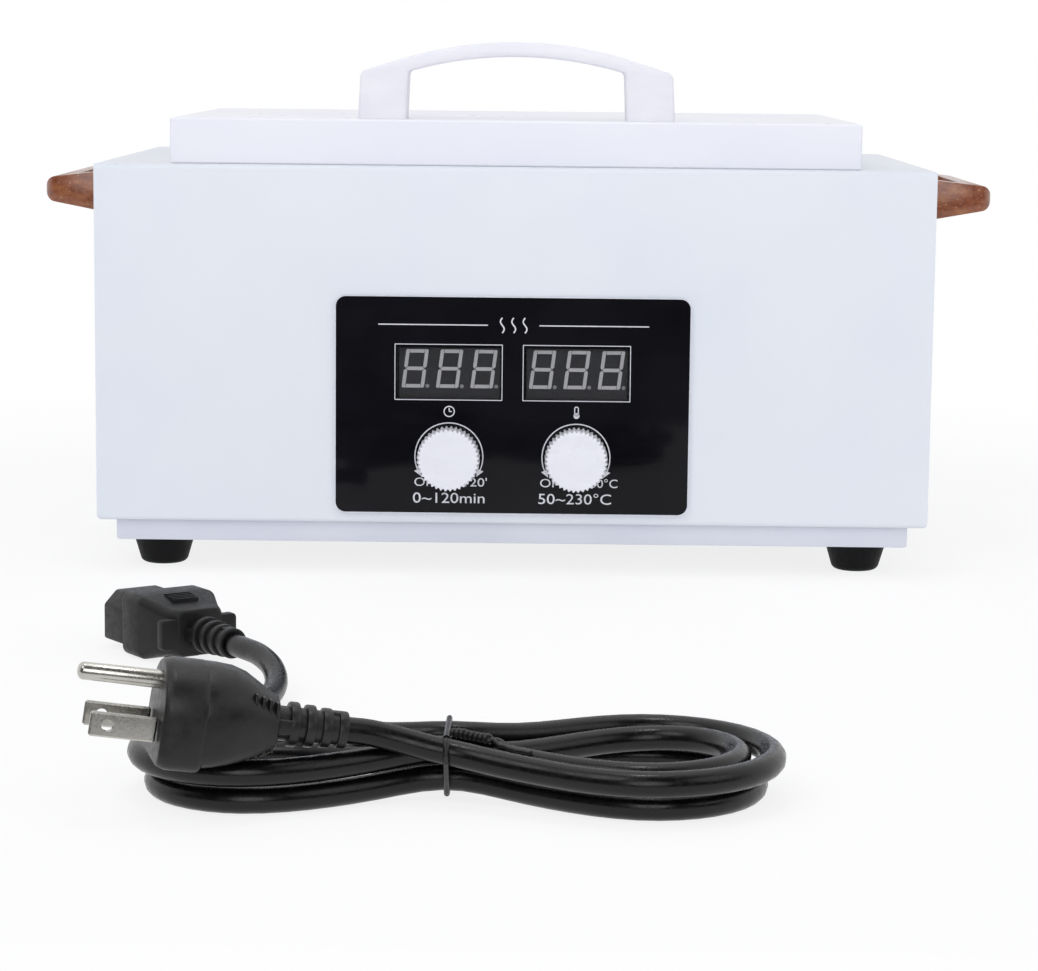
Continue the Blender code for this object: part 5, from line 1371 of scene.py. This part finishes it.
def makeRing(name, node, body):
    s = ringShape
    middle = middleOf(node)
    centre = Vector((middle.x, middle.y, s["height"]))
    start, span = s["split"] + s["gap"], 360 - 2 * s["gap"]
    points = []
    for k in range(s["steps"] + 1):
        a = math.radians(start + span * k / s["steps"])
        points.append(centre + Vector((math.cos(a), math.sin(a), 0.0)) * s["radius"])
    wire = tubeAlong(name, points, s["wire"] * 0.985, 20)
    rounded(wire, 0.00025, 2, 60)
    return settled(wire, "ringSteel", [node], 40, body)


makeRing("leftLiftRing", "left_lift_ring", "left_ring")
makeRing("rightLiftRing", "right_lift_ring", "right_ring")


# Fuses: a clear tube filled with sand between two plated caps

fuseShape = {"length": 0.020, "cap": 0.005, "radius": 0.0026, "tube": 0.00225, "sides": 40}


def makeFuse(name, node):
    s = fuseShape
    middle = middleOf(node)
    half, bare = s["length"] / 2, s["length"] / 2 - s["cap"]
    long = bare + 0.001
    profile = [(-long, 0.0), (-long, s["tube"]), (long, s["tube"]), (long, 0.0)]
    tube = turned(name + "Tube", profile, s["sides"])
    moved(tube, Matrix.Translation(middle))
    settled(tube, "fuseGlass", [node], body="fuse_carrier")
    caps = []
    for side in (-1, 1):
        cap = turned("cap", [
            (bare, s["tube"] - 0.0001), (bare, s["radius"]), (half - 0.0005, s["radius"]),
            (half - 0.0001, s["radius"] - 0.0003), (half, s["radius"] - 0.0008), (half, 0.0),
        ], s["sides"])
        if side < 0:
            moved(cap, spun(180, "Z"))
        caps.append(moved(cap, Matrix.Translation(middle)))
    return settled(joined(name + "Caps", caps), "nickel", body="fuse_carrier")


makeFuse("frontFuse", "front_fuse")
makeFuse("rearFuse", "rear_fuse")
print("rings and fuses made")


# Screws: pan heads with a cross recess, on the hinges and the rear

screwShape = {
    "radius": 0.0029,
    "height": 0.0013,
    "slotLength": 0.0034,
    "slotWidth": 0.0007,
    "slotDepth": 0.0009,
    "loose": 3.1,
    "leafSpread": 0.011,
    "caseLeafOut": 0.0013,
    "caseLeafRise": 0.0042,
    "lidLeafY": 0.1012,
    "lidLeafDrop": 0.0030,
    "panel": (
        (-0.148, 0.0265), (-0.148, 0.0815), (-0.148, 0.1285), (0.148, 0.0265), (0.148, 0.0815), (0.148, 0.1285),
        (-0.050, 0.0265), (0.050, 0.0265),
    ),
    "flange": ((-0.132, 0.1415), (0.0, 0.1415), (0.132, 0.1415)),
}


def makeScrewHead():
    s = screwShape
    dome = [(s["height"] * math.sin(math.radians(a)), s["radius"] * math.cos(math.radians(a)))
            for a in (0, 18, 36, 52, 66, 78)]
    head = turned("screwHead", [(-0.0002, 0.0), (-0.0002, s["radius"]), *dome, (s["height"], 0.0)], 32)
    moved(head, spun(-90, "Y"))
    for turn in (0, 90):
        bar = slab("slot", roundedBox(s["slotLength"], s["slotWidth"], 0.0002, 2),
                   s["height"] - s["slotDepth"], s["height"] + 0.001, "Z")
        cutAway(head, moved(bar, spun(turn, "Z")))
    return head


def makeScrews():
    s = screwShape
    head = makeScrewHead()
    facingRear = (math.radians(-90), 0.0, 0.0)
    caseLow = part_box("left_hinge_case_leaf")[0].z + s["caseLeafRise"]
    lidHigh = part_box("left_hinge_lid_leaf")[1].z - s["lidLeafDrop"]
    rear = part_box("rear_panel")[1].y
    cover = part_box("front_top_cover")[1].y
    hinges = [middleOf(side + "_hinge_pin").x for side in ("left", "right")]
    leafX = [x + k * s["leafSpread"] for x in hinges for k in (-1, 1)]
    casePlaces = [(x, cover + s["caseLeafOut"], caseLow) for x in leafX]
    casePlaces += [(x, rear, z) for x, z in s["panel"]] + [(x, cover, z) for x, z in s["flange"]]
    lidPlaces = [(x, s["lidLeafY"], lidHigh) for x in leafX]
    for name, places, body in (("caseScrews", casePlaces, "casing"), ("lidScrews", lidPlaces, "lid")):
        screws = copied(name, head, places, "zinc", facingRear, s["loose"])
        settled(screws, "zinc", (), 30, body)
    dropped(head)


makeScrews()


# Inlet pins: plated sleeves over the moulded ones

inletPinShape = {
    "rise": 0.0068,
    "pitch": 0.007,
    "offset": 0.002,
    "width": 0.0022,
    "height": 0.0042,
    "corner": 0.0006,
    "edge": 0.0004,
    "back": 0.0174,
    "front": 0.0019,
}


def makeInletPins():
    s = inletPinShape
    middle = middleOf("inlet_housing")
    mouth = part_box("inlet_housing")[1].y
    pins = []
    for k in (-1, 0, 1):
        rise = s["rise"] + (s["offset"] if k == 0 else -s["offset"])
        outline = roundedBox(s["width"], s["height"], s["corner"], 3, (middle.x + k * s["pitch"], middle.z + rise))
        pin = slab("pin", outline, mouth - s["back"], mouth - s["front"])
        pins.append(rounded(pin, s["edge"], 2, 50))
    return settled(joined("inletPins", pins), "nickel")


makeInletPins()
print("rear made")


# Sheet metal nodes with bends, shaded smooth

sheetNodes = (
    ("frontTopCover", "front_top_cover", "casing", "white_coat", "casingCoat"),
    ("leftSidePanel", "left_side_panel", "casing", "white_coat", "casingCoat"),
    ("rightSidePanel", "right_side_panel", "casing", "white_coat", "casingCoat"),
    ("basePan", "base_pan", "casing", "white_coat", "baseCoat"),
    ("lidCover", "lid_cover", "lid", "lid_coat", "lidCoat"),
    ("lidLiner", "lid_liner", "lid", "stainless_steel", "tank"),
    ("lidSeal", "lid_seal", "lid", "silicone_red", "silicone"),
    ("chamberTank", "chamber_tank", "casing", "stainless_steel", "tank"),
    ("instrumentTray", "instrument_tray", "tray", "stainless_steel", "tray"),
)
sheetShape = {
    "coverCorner": 0.0021,
    "rimDepth": 0.0006,
    "rimDrop": 0.00025,
    "gap": ((0.1470, 0.0145), (0.1470, 0.0194), (0.1496, 0.0194), (0.1484, 0.0145)),
    "gapDepth": 0.012,
    "plateHalf": 0.1479,
    "plateTop": 0.0197,
    "plateCorner": 0.0011,
    "plateLow": 0.0001,
    "plateOut": 0.0004,
    "plateIn": 0.0002,
    "beyond": 0.001,
}


def roundCoverCorners(cover):
    # the front sheet's lower corners are rounded
    low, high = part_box("front_top_cover")
    r, beyond = sheetShape["coverCorner"], sheetShape["beyond"]
    for side, edge in ((-1, low.x), (1, high.x)):
        turn = arcPoints((edge - side * r, low.z + r), r, 0 if side > 0 else 180, -90 if side > 0 else 270, 8)
        out = edge + side * beyond
        outline = [(out, low.z + r), *turn, (edge - side * r, low.z - beyond), (out, low.z - beyond)]
        cutAway(cover, slab("corner", outline, low.y - beyond, low.y + 0.006))


def settleLid(cover):
    # the lid's rim closes down on the casing
    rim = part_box("lid_cover")[0].z + sheetShape["rimDepth"]
    for corner in cover.data.vertices:
        if corner.co.z < rim:
            corner.co.z -= sheetShape["rimDrop"]


def openBaseEnd(pan):
    # at the right end a dark gap shows between the front plate and the flared side
    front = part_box("base_pan")[0].y
    cutAway(pan, slab("gap", sheetShape["gap"], front - 0.002, front + sheetShape["gapDepth"]))


def makeBasePlate():
    # upright front plate of the base, with rounded lower corners
    s = sheetShape
    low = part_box("base_pan")[0]
    wide, base, top, r = s["plateHalf"], low.z + s["plateLow"], s["plateTop"], s["plateCorner"]
    outline = [*arcPoints((-wide + r, base + r), r, 180, 270, 5), *arcPoints((wide - r, base + r), r, 270, 360, 5),
               (wide, top), (-wide, top)]
    plate = slab("basePlate", outline, low.y - s["plateOut"], low.y + s["plateIn"])
    return settled(rounded(plate, s["plateIn"], 2, 40), "baseCoat")


sheetWork = {"front_top_cover": roundCoverCorners, "lid_cover": settleLid, "base_pan": openBaseEnd}
makeBasePlate()
for name, node, body, slotName, finish in sheetNodes:
    sheet = mergedCopy(name, node)
    if node in sheetWork:
        sheetWork[node](sheet)
    settled(sheet, finish, [node], 30, body)

nodeFinishes = {
    "casingCoat": ("rear_panel",), "window": ("left_display_window", "right_display_window"),
    "displayEpoxy": ("left_display", "right_display"), "transformer": ("transformer",), "board": ("control_board",),
    "nickel": ("temperature_probe", "left_hinge_pin", "right_hinge_pin", "left_plug_blade", "right_plug_blade"),
    "zinc": ("jacket_cradle", "left_hinge_case_leaf", "right_hinge_case_leaf", "left_hinge_lid_leaf",
             "right_hinge_lid_leaf", "left_potentiometer", "right_potentiometer", "time_shaft", "temperature_shaft"),
    "inletPlastic": ("inlet_housing", "fuse_drawer"), "terminal": ("terminal_block",), "mica": ("heater_plate",),
    "wool": ("insulation_jacket", "lid_insulation"), "brownWire": ("live_wire",), "blueWire": ("neutral_wire",),
    "earthWire": ("earth_wire",),
}
for finish, names in nodeFinishes.items():
    for node in names:
        nodes[node].data.materials.clear()
        nodes[node].data.materials.append(finishes[finish])
print("nodes finished")


# Floor, backdrop and light

stageShape = {"size": 6.0, "tableEdge": -0.556, "glow": 0.82, "near": 0.42, "far": 0.75}
lampShape = (
    ("keyLamp", (-1.1, -1.5, 1.9), (-0.02, 0.0, 0.08), 1.4, 11.0),
    ("fillLamp", (1.5, -1.3, 1.2), (0.0, 0.0, 0.08), 1.4, 5.0),
    ("frontLamp", (0.0, -2.3, 0.75), (0.0, 0.0, 0.08), 1.2, 8.4),
    ("topLamp", (0.1, 0.2, 2.3), (0.0, 0.0, 0.0), 1.8, 3.0),
    ("stripLamp", (0.0, -0.35, 1.5), (0.0, -0.35, 0.0), 0.22, 1.6),
)


def seenRays(tree):
    # camera, glossy and transmission rays see the white background; the others are lit by it
    path = addNode(tree, "ShaderNodeLightPath")
    seen = addNode(tree, "ShaderNodeMath", {
        0: path.outputs["Is Camera Ray"], 1: path.outputs["Is Glossy Ray"]}, operation="MAXIMUM")
    more = addNode(tree, "ShaderNodeMath", {0: seen, 1: path.outputs["Is Transmission Ray"]}, operation="MAXIMUM")
    return path.outputs["Is Camera Ray"], more.outputs[0]


def makeWorld():
    # a white backdrop behind the object and a darker room behind the camera
    world = bpy.data.worlds.new("studio")
    world.use_nodes = True
    tree = world.node_tree
    tree.nodes.clear()
    camera, seen = seenRays(tree)
    way = addNode(tree, "ShaderNodeTexCoord")
    axes = addNode(tree, "ShaderNodeSeparateXYZ", {0: way.outputs["Generated"]})
    room = addNode(tree, "ShaderNodeMapRange", {
        "From Min": -0.4, "From Max": 0.1, "To Min": 0.12, "To Max": 1.0, "Value": axes.outputs[1]})
    shown = addNode(tree, "ShaderNodeMath", {0: room, 1: camera}, operation="MAXIMUM")
    white = addNode(tree, "ShaderNodeBackground", {"Color": (1.0, 1.0, 1.0, 1.0), "Strength": shown})
    lit = addNode(tree, "ShaderNodeBackground", {"Color": linear("#F4F6FF"), "Strength": 0.58})
    mixed = addNode(tree, "ShaderNodeMixShader", {0: seen, 1: lit, 2: white})
    addNode(tree, "ShaderNodeOutputWorld", {"Surface": mixed})
    bpy.context.scene.world = world


def makeFloor():
    # white table top: it keeps the shadow near the object and is plain white further off
    s = stageShape
    half = s["size"] / 2
    floor = newPiece("floor", [(-half, -half, 0), (half, -half, 0), (half, half, 0), (-half, half, 0)],
                     [(0, 1, 2, 3)])
    material, tree, shader = newFinish("whiteStudioFloor", "#FDFDFD", 0.9)
    floor.data.materials.append(material)
    shader.inputs["Specular IOR Level"].default_value = 0.0
    camera, seen = seenRays(tree)
    place = addNode(tree, "ShaderNodeTexCoord")
    axes = addNode(tree, "ShaderNodeSeparateXYZ", {0: place.outputs["Object"]})
    # in front the table ends, and gloss surfaces show the darker room beyond its edge
    table = addNode(tree, "ShaderNodeMapRange", {
        "From Min": s["tableEdge"] - 0.006, "From Max": s["tableEdge"] + 0.006, "To Min": 0.12, "To Max": 1.0,
        "Value": axes.outputs[1]})
    away = addNode(tree, "ShaderNodeVectorMath", {
        1: (0.0, -0.2, 0.0), 0: place.outputs["Object"]}, operation="DISTANCE")
    glow = addNode(tree, "ShaderNodeMapRange", {
        "From Min": s["near"], "From Max": s["far"], "To Min": s["glow"], "To Max": 1.0,
        "Value": away.outputs["Value"]})
    room = addNode(tree, "ShaderNodeMath", {0: 1.0, 1: table}, operation="SUBTRACT")
    share = addNode(tree, "ShaderNodeMath", {0: glow, 1: room}, operation="MAXIMUM")
    mask = addNode(tree, "ShaderNodeMath", {0: share, 1: seen}, operation="MULTIPLY")
    bright = addNode(tree, "ShaderNodeMath", {0: table, 1: camera}, operation="MAXIMUM")
    white = addNode(tree, "ShaderNodeEmission", {"Color": (1.0, 1.0, 1.0, 1.0), "Strength": bright})
    mixed = addNode(tree, "ShaderNodeMixShader", {0: mask, 1: shader, 2: white})
    tree.links.new(mixed.outputs[0], tree.nodes["Material Output"].inputs["Surface"])


def makeLamps():
    for name, place, aim, size, power in lampShape:
        lamp = bpy.data.lights.new(name, "AREA")
        lamp.size = size
        lamp.energy = power
        lamp.shape = "DISK"
        holder = inScene(name, lamp)
        way = Vector(aim) - Vector(place)
        holder.matrix_world = Matrix.Translation(place) @ way.to_track_quat("-Z", "Y").to_matrix().to_4x4()


makeWorld()
makeFloor()
makeLamps()
bpy.context.scene.view_settings.view_transform = "Standard"
print("stage made")
